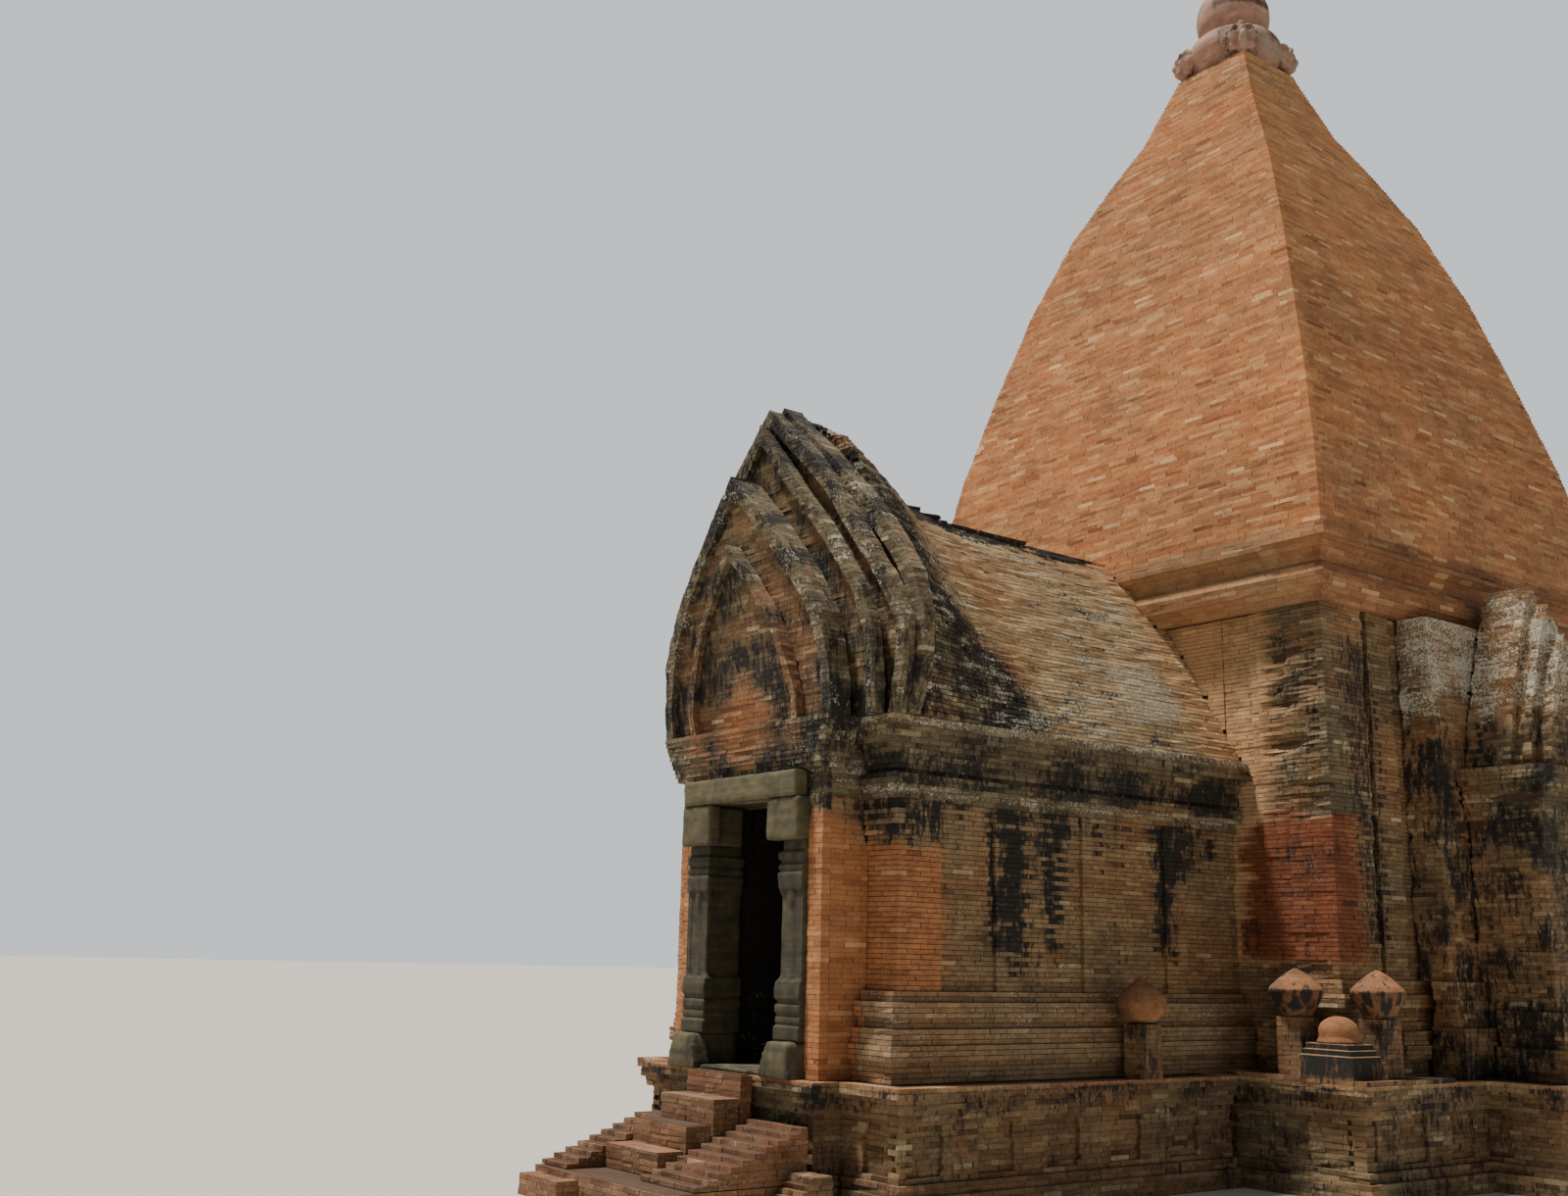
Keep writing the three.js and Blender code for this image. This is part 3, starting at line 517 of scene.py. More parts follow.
def brick_rows(name, rng, depth):
    """Every facing brick of a CAD node."""
    points, faces = node_mesh(name)
    bottom, top = points[:, 2].min(), points[:, 2].max()
    rows = []
    for course in range(math.floor(bottom / COURSE + 0.3), math.ceil(top / COURSE - 0.3)):
        low = max(course * COURSE, bottom)
        high = min((course + 1) * COURSE, top)
        if high - low < THINNEST:
            continue
        lay_course(outline_loops(points, faces, (low + high) / 2 + 1e-4), low, high, course, rng, rows, depth)
    return np.array(rows)


def set_back_panels(rows):
    """The plinths' courses, in lay_course's rows, cut at the edges of their panels, which stand back."""
    low, high, pitch, panel, recess = PANELS
    cut = []
    for row in rows:
        if not low - 0.01 < row[6] < high - 0.01:
            cut.append(row)
            continue
        axis = 0 if abs(row[2]) > abs(row[3]) else 1
        way = 1 if row[2 + axis] > 0 else -1
        near, far = sorted(row[axis] + way * end for end in row[4:6])
        edges = [k * pitch + side * panel / 2 for k in range(-16, 17) for side in (-1, 1)]
        marks = [near, *(edge for edge in sorted(edges) if near + 0.03 < edge < far - 0.03), far]
        for a, b in zip(marks, marks[1:]):
            piece = row.copy()
            piece[4:6] = sorted(way * (end - row[axis]) for end in (a, b))
            piece[10] = row[10] and piece[4] == row[4]
            piece[11] = row[11] and piece[5] == row[5]
            middle = (a + b) / 2
            in_panel = abs(middle - round(middle / pitch) * pitch) < panel / 2
            piece[12] = recess if in_panel and not (piece[10] or piece[11]) else 0.0
            cut.append(piece)
    return np.array(cut)


def roof_rows(name, rng):
    """Bricks of the four roof sides, bonded round the hips, from the outline of the front side."""
    points, faces = node_mesh(name)
    rows = []
    for course in range(round(points[:, 2].min() / COURSE), round(points[:, 2].max() / COURSE)):
        low = course * COURSE
        edges = [edge for loop in outline_loops(points, faces, low + COURSE / 2) for edge in loop]
        face = max(edges, key=lambda edge: -edge.start[1] - edge.end[1])
        half = -face.start[1]
        corners = [np.array(corner) * half for corner in ((-1, -1), (1, -1), (1, 1), (-1, 1))]
        loop = [Edge(a, b, face.slope) for a, b in zip(corners, corners[1:] + corners[:1])]
        lay_course([loop], low, low + COURSE, course, rng, rows)
    return np.array(rows)


# Weather: how old, sooty, overgrown and worn the brickwork is at each point, and where shade is painted on it

class Site:
    """Where points lie on the building, and the seeded noise that breaks up their zones."""

    def __init__(self, points, node):
        self.node = node
        self.x, self.y, self.z = points.T
        self.side = np.abs(self.x)
        self.streaks = drift(points, (0.13, 0.13, 1.3), 11)
        self.patches = drift(points, 0.8, 12)
        self.blots = drift(points, 0.3, 13)
        self.small = drift(points, 0.09, 14)
        self.layers = drift(points, (0.9, 0.9, 0.11), 15)
        self.ragged = 0.5 * self.blots + 0.3 * self.small
        self.on_front = np.abs(self.y) > self.side
        self.along = np.where(self.on_front, self.side, np.abs(self.y))


def zone(looks, where, **targets):
    """Moves the named looks towards their targets where the zone's weight is 1."""
    for key, target in targets.items():
        looks[key] = looks[key] + where * (target - looks[key])


def roof_weather(looks, s):
    """The rebuilt roof: even orange, a little darker in patches, with its left and right sides painted darker
    as shade, darkest at their foot and paler towards the top.
    """
    zone(looks, 1.0, age=0.16 + 0.2 * s.patches + 0.1 * s.layers + 0.12 * s.small, loss=0.006,
         soot=0.04 + 0.14 * s.small + 0.1 * s.patches + 0.14 * s.layers + 0.1 * s.blots,
         lichen=0.02 + 0.1 * s.patches + 0.08 * s.small)
    # Painted shade: the left and right sides are made older and sootier, darker low down and dustier high up.
    painted_shade_sides = ramp(s.side - np.abs(s.y), 0.0, 0.05)
    zone(looks, 0.5 * painted_shade_sides, age=0.48 + 0.2 * s.patches + 0.1 * s.layers, lichen=0.1 + 0.1 * s.small,
         soot=0.14 + 0.12 * s.small + 0.1 * s.layers + 0.22 * ramp(s.z, 12.0, 9.0),
         dust=0.05 + 0.3 * ramp(s.z, 9.0, 15.0))


def cornice_weather(looks, s):
    """The rebuilt cornice: clean and pale with dust on the front, with rain runs; its left and right sides
    are painted darker and redder as shade.
    """
    zone(looks, 1.0, age=0.46 + 0.25 * s.patches, loss=0.004, lichen=0.1 + 0.1 * s.small,
         soot=0.08 + 0.16 * s.streaks + 0.14 * s.blots, dust=0.16 + 0.1 * s.patches)
    # Painted shade: the left and right sides get more soot, age and redness, and no dust.
    zone(looks, ~s.on_front, soot=0.2 + 0.14 * s.streaks + 0.12 * s.blots, age=0.62 + 0.2 * s.patches,
         dust=0.0, red=0.42 + 0.2 * s.patches)


def tower_weather(looks, s):
    """Tower walls: rubbed panels beside the hall, crumbling corners and a patch of mended red brick."""
    panel = s.on_front * ramp(s.along, 2.3, 2.24) * ramp(s.z, 2.3, 2.4)
    zone(looks, panel, age=0.4 + 0.2 * s.patches, soot=0.08 * s.blots, loss=0.003,
         lichen=0.16 + 0.15 * s.patches + 0.12 * s.small, dust=0.46 + 0.15 * s.patches)
    corner = s.on_front * ramp(s.along, 2.26, 2.36)
    corner = corner * ramp(s.z + 0.2 * s.ragged, 4.0, 4.1) * ramp(s.z, 6.35, 6.15)
    zone(looks, corner, loss=0.045, age=0.8 + 0.2 * s.blots, soot=0.33 + 0.3 * s.blots + 0.12 * s.layers,
         lichen=0.25 + 0.2 * s.small)
    sooty = ~s.on_front * band(s.along + 0.1 * s.ragged, 1.95, 2.8, 0.05) * ramp(s.z, 6.3, 5.9)
    zone(looks, sooty * ramp(s.z, 2.2, 2.6), soot=0.52 + 0.3 * s.streaks)
    edge = np.where(s.on_front, 1.7, 2.5)
    mended = ramp(s.along + 0.25 * s.ragged, edge, edge + 0.08) * ramp(s.z, 2.36, 2.42)
    mended = mended * ramp(s.z + 0.35 * s.ragged, 4.06, 3.98)
    zone(looks, mended, red=0.95, age=0.4 + 0.2 * s.blots, soot=0.27 + 0.26 * s.blots, loss=0.004,
         lichen=0.14 + 0.2 * s.small, dust=0.0)


def false_door_weather(looks, s):
    """False doors: pale scurf over the ribs, dark and broken below."""
    high = ramp(s.z + 0.5 * s.ragged, 5.1, 5.5)
    zone(looks, 1.0, soot=0.48 + 0.3 * s.blots + 0.1 * s.streaks, lichen=0.08 + 0.2 * s.patches, loss=0.032)
    zone(looks, high, soot=0.28 + 0.35 * s.blots, lichen=0.58 + 0.25 * s.blots + 0.2 * s.small, loss=0.02)


# Black runs down the hall's side walls: front, back, foot, and how strong
RUNS = [
    (-6.97, -6.53, 2.05, 1.0), (-6.18, -5.92, 2.3, 0.9), (-5.5, -5.28, 3.1, 0.75),
    (-4.42, -4.12, 2.1, 0.9), (-4.12, -3.72, 2.95, 0.6),
]


def hall_weather(looks, s):
    """Hall walls: rebuilt round the portal, black runs below the cornice, and the doorway's walls painted
    black as shade.
    """
    shaft = ramp(s.z, 2.0, 2.05)
    zone(looks, 1.0, soot=0.1 + 0.2 * s.streaks + 0.24 * s.blots, dust=0.2 + 0.15 * s.patches,
         lichen=0.26 + 0.2 * s.small + 0.14 * s.blots, red=0.15 + 0.3 * s.blots)
    zone(looks, shaft, soot=0.22 + 0.3 * s.streaks + 0.25 * s.patches,
         lichen=0.14 + 0.2 * s.small + 0.14 * s.blots, dust=0.1 + 0.15 * s.patches, red=0.1 + 0.3 * s.patches)
    below_cornice = shaft * ramp(s.z + 0.5 * s.streaks, 3.1, 3.8)
    zone(looks, below_cornice, soot=0.4 + 0.35 * s.streaks + 0.25 * s.patches)
    for front, back, foot, strength in RUNS:
        run = band(s.y + 0.08 * s.ragged, front, back, 0.05) * (s.side > 1.5)
        run = run * ramp(s.z + 0.4 * s.streaks, foot, foot + 0.5)
        zone(looks, strength * run * shaft, soot=0.8)
    rebuilt = ramp(s.y, -7.64, -7.68) * ramp(s.z, 1.98, 2.02) * ramp(s.z + 0.25 * s.ragged, 3.5, 3.4)
    fresh = {
        "age": 0.1 + 0.1 * s.blots, "soot": 0.06 + 0.08 * s.small + 0.1 * s.blots,
        "red": 0.35 + 0.2 * s.patches, "loss": 0.003, "lichen": 0.02, "dust": 0.03,
    }
    zone(looks, rebuilt, **fresh)
    zone(looks, (s.side < 1.35) * (s.y < -8.3) * ramp(s.z + 0.3 * s.ragged, 3.8, 3.6), **fresh)
    # Painted shade: the walls inside the doorway are turned black, with full soot and age.
    zone(looks, ramp(s.side, 0.84, 0.78) * ramp(s.y, -8.89, -8.86), soot=1.0, age=1.0)


def hall_cornice_weather(looks, s):
    """Hall cornice: black with crust, with paler slabs above and below."""
    zone(looks, 1.0, soot=0.42 + 0.25 * s.blots + 0.25 * s.streaks + 0.2 * band(s.z, 4.05, 4.35), loss=0.02,
         age=0.95 + 0.2 * s.patches, lichen=0.18 + 0.2 * s.small + 0.2 * s.blots)
    slab = band(s.z, 4.56, 4.7, 0.02) + band(s.z, 3.9, 3.97, 0.02)
    zone(looks, slab, soot=0.12 + 0.3 * s.blots, lichen=0.5 + 0.2 * s.small)


# Rib faces of the gable's panels: distance to the front at their foot, and how far each leans per metre
RIB_FACES = {
    "pediment_1": (9.01, 0.138), "pediment_2": (8.98, 0.098), "pediment_3": (8.72, 0.047),
    "pediment_4": (8.58, 0.047), "pediment_5": (8.42, 0.035),
}


def gable_weather(looks, s):
    """Gable: brown panels with orange patches between black ribs that carry pale scurf in specks."""
    zone(looks, 1.0, soot=0.4 + 0.45 * s.blots + 0.1 * ramp(s.z, 6.0, 7.5), loss=0.01, age=1.0,
         lichen=0.28 + 0.35 * s.small + 0.2 * s.patches)
    if s.node in RIB_FACES:
        front, lean = RIB_FACES[s.node]
        field = band(-s.y - front - lean * (s.z - 4.65), -0.12, -0.06, 0.012)
        zone(looks, field, soot=0.48 + 0.4 * s.blots, age=1.05 + 0.5 * s.blots, red=0.15 + 0.35 * s.patches,
             lichen=0.1 + 0.15 * s.small, loss=0.006)
    low = (s.side < 0.98) * (s.y < -8.85) * ramp(s.z + 0.5 * s.ragged, 6.3, 5.9)
    zone(looks, low, soot=0.44 + 0.34 * s.blots + 0.1 * s.small, age=1.0 + 0.4 * s.blots,
         red=0.15 + 0.3 * s.patches, lichen=0.1)
    glow = ramp(np.hypot((s.x + 0.02) * 2.3, (s.z - 4.78) * 1.2) + 0.35 * s.ragged, 0.8, 0.45)
    zone(looks, low * glow, soot=0.12 + 0.2 * s.blots, age=0.42 + 0.3 * s.blots, red=0.25)
    black = band(s.x + 0.2 * s.ragged, 0.66, 1.7, 0.1) * ramp(s.z + 0.5 * s.ragged, 5.1, 4.7) * (s.y < -8.85)
    zone(looks, black, soot=0.54 + 0.3 * s.blots, lichen=0.22 + 0.4 * s.small)


def vault_weather(looks, s):
    """Vault: black and white behind the gable, tan further back, clean along the tower."""
    front = ramp(s.y + 0.6 * s.ragged - 1.1 * ramp(s.z, 6.6, 5.2), -7.3, -7.7)
    zone(looks, 1.0, age=0.86 + 0.5 * s.patches, soot=0.16 + 0.3 * s.patches + 0.3 * s.blots + 0.5 * s.small,
         lichen=0.28 + 0.25 * s.patches + 0.5 * s.small, loss=0.02, dust=0.48 + 0.3 * s.patches)
    zone(looks, front, soot=0.62 + 0.35 * s.blots, lichen=0.3 + 0.5 * s.small + 0.2 * s.blots, dust=0.0)
    mortar = band(s.y + 0.1 * s.ragged, -4.7, -3.6, 0.05) * band(s.z + 0.15 * s.ragged, 5.05, 5.8, 0.05)
    zone(looks, mortar, lichen=0.62, soot=0.05, loss=0.0)
    ridge = ramp(s.z + 0.1 * s.ragged, 7.2, 7.32) * ramp(s.y, -7.4, -7.0)
    zone(looks, ridge, soot=0.75 + 0.2 * s.small, lichen=0.1)
    zone(looks, ramp(s.y + 0.1 * s.ragged, -3.62, -3.5), age=0.4, soot=0.03, lichen=0.15)


def plinth_weather(looks, s):
    """Plinths: brown and damp, black under the ledge and pale on its edge."""
    zone(looks, 1.0, age=0.85 + 0.2 * s.patches, red=0.12 + 0.3 * s.blots,
         soot=0.3 + 0.2 * s.streaks + 0.2 * s.patches + 0.1 * s.layers)
    zone(looks, band(s.z, 0.88, 1.14, 0.02), soot=0.42 + 0.35 * s.blots + 0.15 * s.streaks)
    zone(looks, ramp(s.z, 1.125, 1.14), soot=0.1 + 0.15 * s.blots, lichen=0.4 + 0.2 * s.small, age=0.5)


def stair_weather(looks, s):
    """Stair: hard-fired red in patches, dusty, with specks of lichen."""
    zone(looks, 1.0, red=0.34 + 0.3 * s.patches, age=0.5 + 0.3 * s.blots, loss=0.006,
         soot=0.12 + 0.25 * s.blots, lichen=0.24 + 0.2 * s.small, dust=0.08 + 0.1 * s.small)


def ornament_weather(looks, s):
    """Buds and small stupas: brown clay with black rain runs, rubbed orange on top."""
    zone(looks, 1.0, age=0.8 + 0.25 * s.patches, soot=0.44 + 0.3 * s.streaks + 0.3 * s.blots, loss=0.004,
         lichen=0.08 + 0.2 * s.small, red=0.3)
    small_stupa = (s.side > 3.0) * (np.abs(s.y) > 3.24) * (s.z < 1.84)
    buds = (s.side > 2.5) * (s.z > 1.84)
    fluted = drift(np.column_stack([s.x, s.y, s.z * 0.1]), 0.05, 33)
    zone(looks, buds, soot=0.55 + 0.45 * fluted + 0.2 * s.small, age=0.7)
    zone(looks, buds * ramp(s.z, 2.07, 2.1), age=0.55 + 0.4 * s.blots, soot=0.3 + 0.4 * fluted, red=0.15)
    hall_bud = (s.y < -4.5) * (s.side < 2.5) * (s.z > 1.72)
    zone(looks, hall_bud, age=0.5 + 0.3 * s.blots, soot=0.16 + 0.25 * s.blots, red=0.15, dust=0.05)
    zone(looks, small_stupa * ramp(s.z, 1.2, 1.24), age=0.9, soot=0.66 + 0.25 * s.blots)
    edges = band(s.z, 1.424, 1.436, 0.004) + band(s.z, 1.484, 1.496, 0.004) + band(s.z, 1.544, 1.55, 0.004)
    zone(looks, small_stupa * edges, soot=0.1, dust=0.6)
    dome = small_stupa * ramp(s.z, 1.556, 1.56)
    zone(looks, dome, age=0.45, soot=0.12 + 0.3 * s.small, red=0.1, lichen=0.08)


def door_soot_and_painted_shade(looks, s):
    """Door stones: darkened with runs below the lintel as painted shade, the lintel itself only lightly
    sooted.
    """
    # Painted shade: the stones below the lintel get heavy soot.
    zone(looks, 1.0, age=0.0, soot=0.42 + 0.25 * s.streaks + 0.12 * s.patches, loss=0.0,
         lichen=0.1 + 0.15 * s.small)
    zone(looks, ramp(s.z, 3.38, 3.46), soot=0.2 + 0.25 * s.blots)


def crown_weather(looks, s):
    """Crowning stone: rosy, with the half away from the key light painted darker as shade and greyed with
    lichen.
    """
    far = ramp(s.x + 0.15 * s.ragged, 0.05, 0.3)
    leaf_reach = ramp(np.hypot(s.x, s.y), 0.72, 0.8)
    zone(looks, 1.0, age=0.0, soot=0.08 + 0.2 * s.blots, loss=0.0, lichen=0.05 + 0.2 * s.small)
    # Painted shade on the far (+x) half, together with lichen specks.
    zone(looks, far * ramp(s.z, 16.38, 16.36), soot=0.34 + 0.3 * s.blots, lichen=0.4 + 0.3 * s.small)
    zone(looks, leaf_reach * ramp(s.z, 15.95, 16.1), soot=0.5 + 0.2 * s.blots)
    zone(looks, ramp(s.x, -0.15, 0.1) * band(s.z + 0.1 * s.ragged, 16.72, 16.9), soot=0.62)


# The rule for each kind of wall, by the start of the node's name, the longer starts first
WEATHER = {
    "door": door_soot_and_painted_shade, "crown": crown_weather,
    "tower_roof": roof_weather, "tower_cornice": cornice_weather, "tower_wall": tower_weather,
    "false_door": false_door_weather, "vestibule_wall": hall_weather, "portal_wall_over": gable_weather,
    "portal_wall": hall_weather, "vestibule_cornice": hall_cornice_weather, "pediment": gable_weather,
    "vestibule_vault": vault_weather, "tower_plinth": plinth_weather, "vestibule_plinth": plinth_weather,
    "stair_footing": plinth_weather, "stair": stair_weather, "corner": ornament_weather,
    "vestibule_bud": ornament_weather,
}


def weather(node, points):
    """Age, soot and painted shade, lichen, redness and dust of a node's brickwork, and how much it has lost,
    at points.
    """
    s = Site(points, node)
    looks = {
        "age": 0.86 + 0.25 * s.patches + 0.15 * s.blots,
        "soot": 0.18 + 0.2 * s.streaks + 0.16 * s.patches + 0.1 * s.small,
        "lichen": 0.06 + 0.12 * s.small,
        "red": np.zeros(len(points)),
        "dust": np.full(len(points), 0.01),
        "loss": np.full(len(points), 0.022),
    }
    next(rule for key, rule in WEATHER.items() if node.startswith(key))(looks, s)
    rough = drift(points, (0.5, 0.5, 0.16), 21) + 0.5 * drift(points, (0.16, 0.16, 0.05), 22)
    loss = looks.pop("loss") * np.clip(0.45 + rough, 0, 1.4)
    return {key: np.clip(values, 0, 1) for key, values in looks.items()}, loss


# Building the bricks as meshes

FACES = np.array([(3, 2, 1, 0), (4, 5, 6, 7), (0, 1, 5, 4), (1, 2, 6, 5), (2, 3, 7, 6), (3, 0, 4, 7)])

# The eight corners of a brick: at its far end, on its outer face, at its top
CORNERS = [(0, 1, 0), (1, 1, 0), (1, 0, 0), (0, 0, 0), (0, 1, 1), (1, 1, 1), (1, 0, 1), (0, 0, 1)]


def finish_piece(piece, material, node):
    """Material and body of a finished piece, and hides the CAD node that it stands for."""
    piece.data.materials.clear()
    piece.data.materials.append(MATERIALS[material])
    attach(piece, "root")
    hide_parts(node)


def stain(mesh, stains, shade):
    """Stores the weather of a mesh's corners, and how light their bricks are, for its material."""
    for key, values in {**stains, "shade": shade}.items():
        layer = mesh.attributes.new(key, "FLOAT", "POINT")
        layer.data.foreach_set("value", np.clip(values, 0, 1).astype(np.float32))


def brick_mesh(node, name, rows, rng, loose, rubbed=0.0, chipped=0.003, bed=BED, kiln=0.1, steps=0.0):
    """A joined mesh of bricks, worn and stained as their places are.

    loose is how far single bricks stand back at random, steps the same for long stretches of a course,
    rubbed tips their faces to the slope of the wall, chipped is the usual loss at a corner, bed the open
    joint below a brick, and kiln how much bricks differ in how light they are.
    """
    count = len(rows)
    start, along = rows[:, 0:2], rows[:, 2:4]
    out = np.stack([along[:, 1], -along[:, 0]], axis=1)
    first, last, low, high, slope, depth, shows_start, shows_end, recess, lean_start, lean_end = rows[:, 4:].T
    middle = np.column_stack([start + along * ((first + last) / 2)[:, None], (low + high) / 2])
    stretches = np.clip(drift(middle, (1.1, 1.1, COURSE), 23), 0, 1)
    back = recess + loose * rng.random(count) ** 2 + steps * stretches
    low, high = low + bed / 2, high - bed / 2
    tilt, tilt_start, tilt_end = np.clip([slope, lean_start, lean_end], -1.2, 1.2) * rubbed * (high - low) / 2
    corners = np.empty((count, 8, 3))
    for i, (far, _, top) in enumerate(CORNERS):
        corners[:, i, :2] = start + along * (last if far else first)[:, None]
        corners[:, i, 2] = high if top else low
    stains, losses = weather(node, corners.reshape(-1, 3))
    losses = losses.reshape(count, 8)
    for i, (far, outer, top) in enumerate(CORNERS):
        inward = back + (losses[:, i] if outer else depth)
        if outer:
            inward = inward - (tilt if top else -tilt) + np.abs(rng.normal(0, chipped, count))
            inward = np.minimum(inward, 0.9 * depth)
        shows = shows_end if far else shows_start
        sideways = shows * (losses[:, i] + back) + np.abs(rng.normal(0, chipped, count)) * outer
        sideways = sideways - (tilt_end if far else tilt_start) * (1 if top else -1)
        corners[:, i, :2] += along * (-sideways if far else sideways)[:, None] - out * inward[:, None]
    quads = (FACES[None] + 8 * np.arange(count)[:, None, None]).reshape(-1, 4)
    mesh = bpy.data.meshes.new(name)
    mesh.from_pydata(corners.reshape(-1, 3).tolist(), [], quads.tolist())
    shades = rng.normal(0.5, kiln, count) + 0.3 * rng.choice([-1, 0, 1], count, p=[0.03, 0.94, 0.03])
    shades += 0.12 * drift(middle, (1.5, 1.5, COURSE), 24)
    stain(mesh, stains, np.repeat(shades, 8))
    piece = bpy.data.objects.new(name, mesh)
    bpy.context.scene.collection.objects.link(piece)
    return piece


# Places spread over a triangle, as weights of its corners
SPREAD = np.array([weights for weights in product(range(1, 9), repeat=3) if sum(weights) == 10]) / 10


def open_air(corners, normal):
    """True where some of a triangle of wall looks outdoors."""
    spots = SPREAD @ corners
    return any(not indoors(*(spot + normal * 0.05)) and not covered(spot, normal) for spot in spots)


def core_mesh(name, node, inset):
    """A copy of a CAD node whose outdoor sides stand back behind the facing bricks."""
    mesh = NODES[node].data.copy()
    mesh.name = name
    work = bmesh.new()
    work.from_mesh(mesh)
    bmesh.ops.remove_doubles(work, verts=work.verts, dist=1e-5)
    amounts = {}
    for face in work.faces:
        normal = np.array(face.normal)
        if not normal.any():
            continue
        shift = inset if abs(normal[2]) < 0.95 else TOP_JOINT
        corners = np.array([vertex.co for vertex in face.verts])
        amount = -shift if open_air(corners, normal) else 0.0
        key = tuple(np.round(normal, 1))
        for vertex in face.verts:
            kept = amounts.setdefault(vertex, {})
            if key not in kept or amount < kept[key][1]:
                kept[key] = (normal, amount)
    for vertex, sides in amounts.items():
        normals, shifts = (np.array(part) for part in zip(*sides.values()))
        move = np.linalg.lstsq(normals, shifts, rcond=0.05)[0]
        length = np.linalg.norm(move)
        vertex.co += Vector(move * min(1.0, 3 * inset / max(length, 1e-9)))
    work.to_mesh(mesh)
    work.free()
    piece = bpy.data.objects.new(name, mesh)
    bpy.context.scene.collection.objects.link(piece)
    return piece


def masonry(node, loose=0.006, inset=0.045, depth=DEPTH, **looks):
    """Facing bricks and core of one CAD node."""
    rng = np.random.default_rng([SEED, *node.encode()])
    slot = SLOTS[node]
    rows = brick_rows(node, rng, depth)
    if slot == "plinth_brick" and node.endswith("_plinth"):
        rows = set_back_panels(rows)
    bricks = brick_mesh(node, node + "_bricks", rows, rng, loose, **looks)
    finish_piece(bricks, slot, node)
    finish_piece(core_mesh(node + "_core", node, inset), "core", node)


def roof():
    """The four curved sides, laid together and parted by the way that their bricks face."""
    rng = np.random.default_rng([SEED, 1])
    rows = roof_rows("tower_roof_front", rng)
    out = np.stack([rows[:, 3], -rows[:, 2]], axis=1)
    for side, direction in {"front": (0, -1), "right": (1, 0), "back": (0, 1), "left": (-1, 0)}.items():
        node = f"tower_roof_{side}"
        part = rows[out @ np.array(direction) > 0.7]
        bricks = brick_mesh(node, node + "_bricks", part, rng, 0.006, chipped=0.002, kiln=0.13)
        finish_piece(bricks, "new_brick", node)
        finish_piece(core_mesh(node + "_core", node, 0.03), "core", node)


# How each kind of wall is laid, by the start of the node's name, the longer starts first
LAYING = {
    "tower_cornice": {"loose": 0.002, "inset": 0.03, "rubbed": 1.0, "chipped": 0.0015, "bed": 0.0015},
    "vestibule_vault": {
        "loose": 0.02, "inset": 0.05, "rubbed": 0.6, "steps": 0.01, "kiln": 0.2, "bed": 0.01,
    },
    "pediment": {"loose": 0.003, "inset": 0.02, "rubbed": 1.0},
    "portal_wall_over": {"loose": 0.008, "steps": 0.015},
    "portal_wall": {"loose": 0.002, "inset": 0.03},
    "tower_plinth": {"steps": 0.01, "inset": 0.075, "depth": 0.16},
    "vestibule_plinth": {"steps": 0.01, "inset": 0.075, "depth": 0.16},
    "vestibule_wall": {"steps": 0.012, "kiln": 0.07, "bed": 0.006},
    "tower_wall": {"steps": 0.012, "kiln": 0.07, "bed": 0.005},
    "stair_block": {"loose": 0.004, "inset": 0.03, "depth": 0.32},
    "stair": {"loose": 0.004, "inset": 0.03, "depth": 0.16},
}


def walls():
    """Everything of brick but the roof and the ornaments."""
    for node in sorted(NODES):
        carved_stone = SLOTS[node] in ("door_stone", "crown_stone")
        if carved_stone or node.startswith(("tower_roof", "corner_", "vestibule_bud")):
            continue
        way = next((way for key, way in LAYING.items() if node.startswith(key)), {"steps": 0.01})
        masonry(node, **way)


# Modelled stones and clay ornaments

def drawn_up(name, steps, sides=4):
    """A solid drawn up from a square or a disc, through outlines [height, left, right, front, back]."""
    bpy.ops.object.select_all(action="DESELECT")
    if sides == 4:
        bpy.ops.mesh.primitive_plane_add(size=1, location=(0, 0, 0))
    else:
        bpy.ops.mesh.primitive_circle_add(vertices=sides, radius=0.5, fill_type="NGON", location=(0, 0, 0))
    piece = bpy.context.object
    piece.name = name
    bpy.ops.object.mode_set(mode="EDIT")
    bpy.ops.mesh.select_all(action="SELECT")
    centre, size = Vector((0, 0, 0)), (1, 1)
    for i, (z, left, right, front, back) in enumerate(steps):
        target = Vector(((left + right) / 2, (front + back) / 2, z))
        if i:
            bpy.ops.mesh.extrude_region_move(TRANSFORM_OT_translate={"value": target - centre})
        else:
            bpy.ops.transform.translate(value=target)
        wide = (right - left, back - front)
        bpy.ops.transform.resize(value=(wide[0] / size[0], wide[1] / size[1], 1), center_override=target)
        centre, size = target, wide
    bpy.ops.mesh.select_all(action="SELECT")
    bpy.ops.mesh.normals_make_consistent(inside=False)
    bpy.ops.object.mode_set(mode="OBJECT")
    return piece


def turned(name, profile, sides):
    """A turned solid: profile = [radius, height] from its foot to its top."""
    return drawn_up(name, [(z, -radius, radius, -radius, radius) for radius, z in profile], sides)


def block(name, low, high):
    """A cut block between two corners."""
    low, high = Vector(low), Vector(high)
    bpy.ops.object.select_all(action="DESELECT")
    bpy.ops.mesh.primitive_cube_add(size=1, location=(low + high) / 2, scale=high - low)
    bpy.ops.object.transform_apply(location=True, rotation=True, scale=True)
    piece = bpy.context.object
    piece.name = name
    return piece


def lump(place, size):
    """A round lump of a carving."""
    bpy.ops.object.select_all(action="DESELECT")
    bpy.ops.mesh.primitive_uv_sphere_add(segments=16, ring_count=10, radius=1, location=place, scale=size)
    bpy.ops.object.transform_apply(location=True, rotation=True, scale=True)
    return bpy.context.object


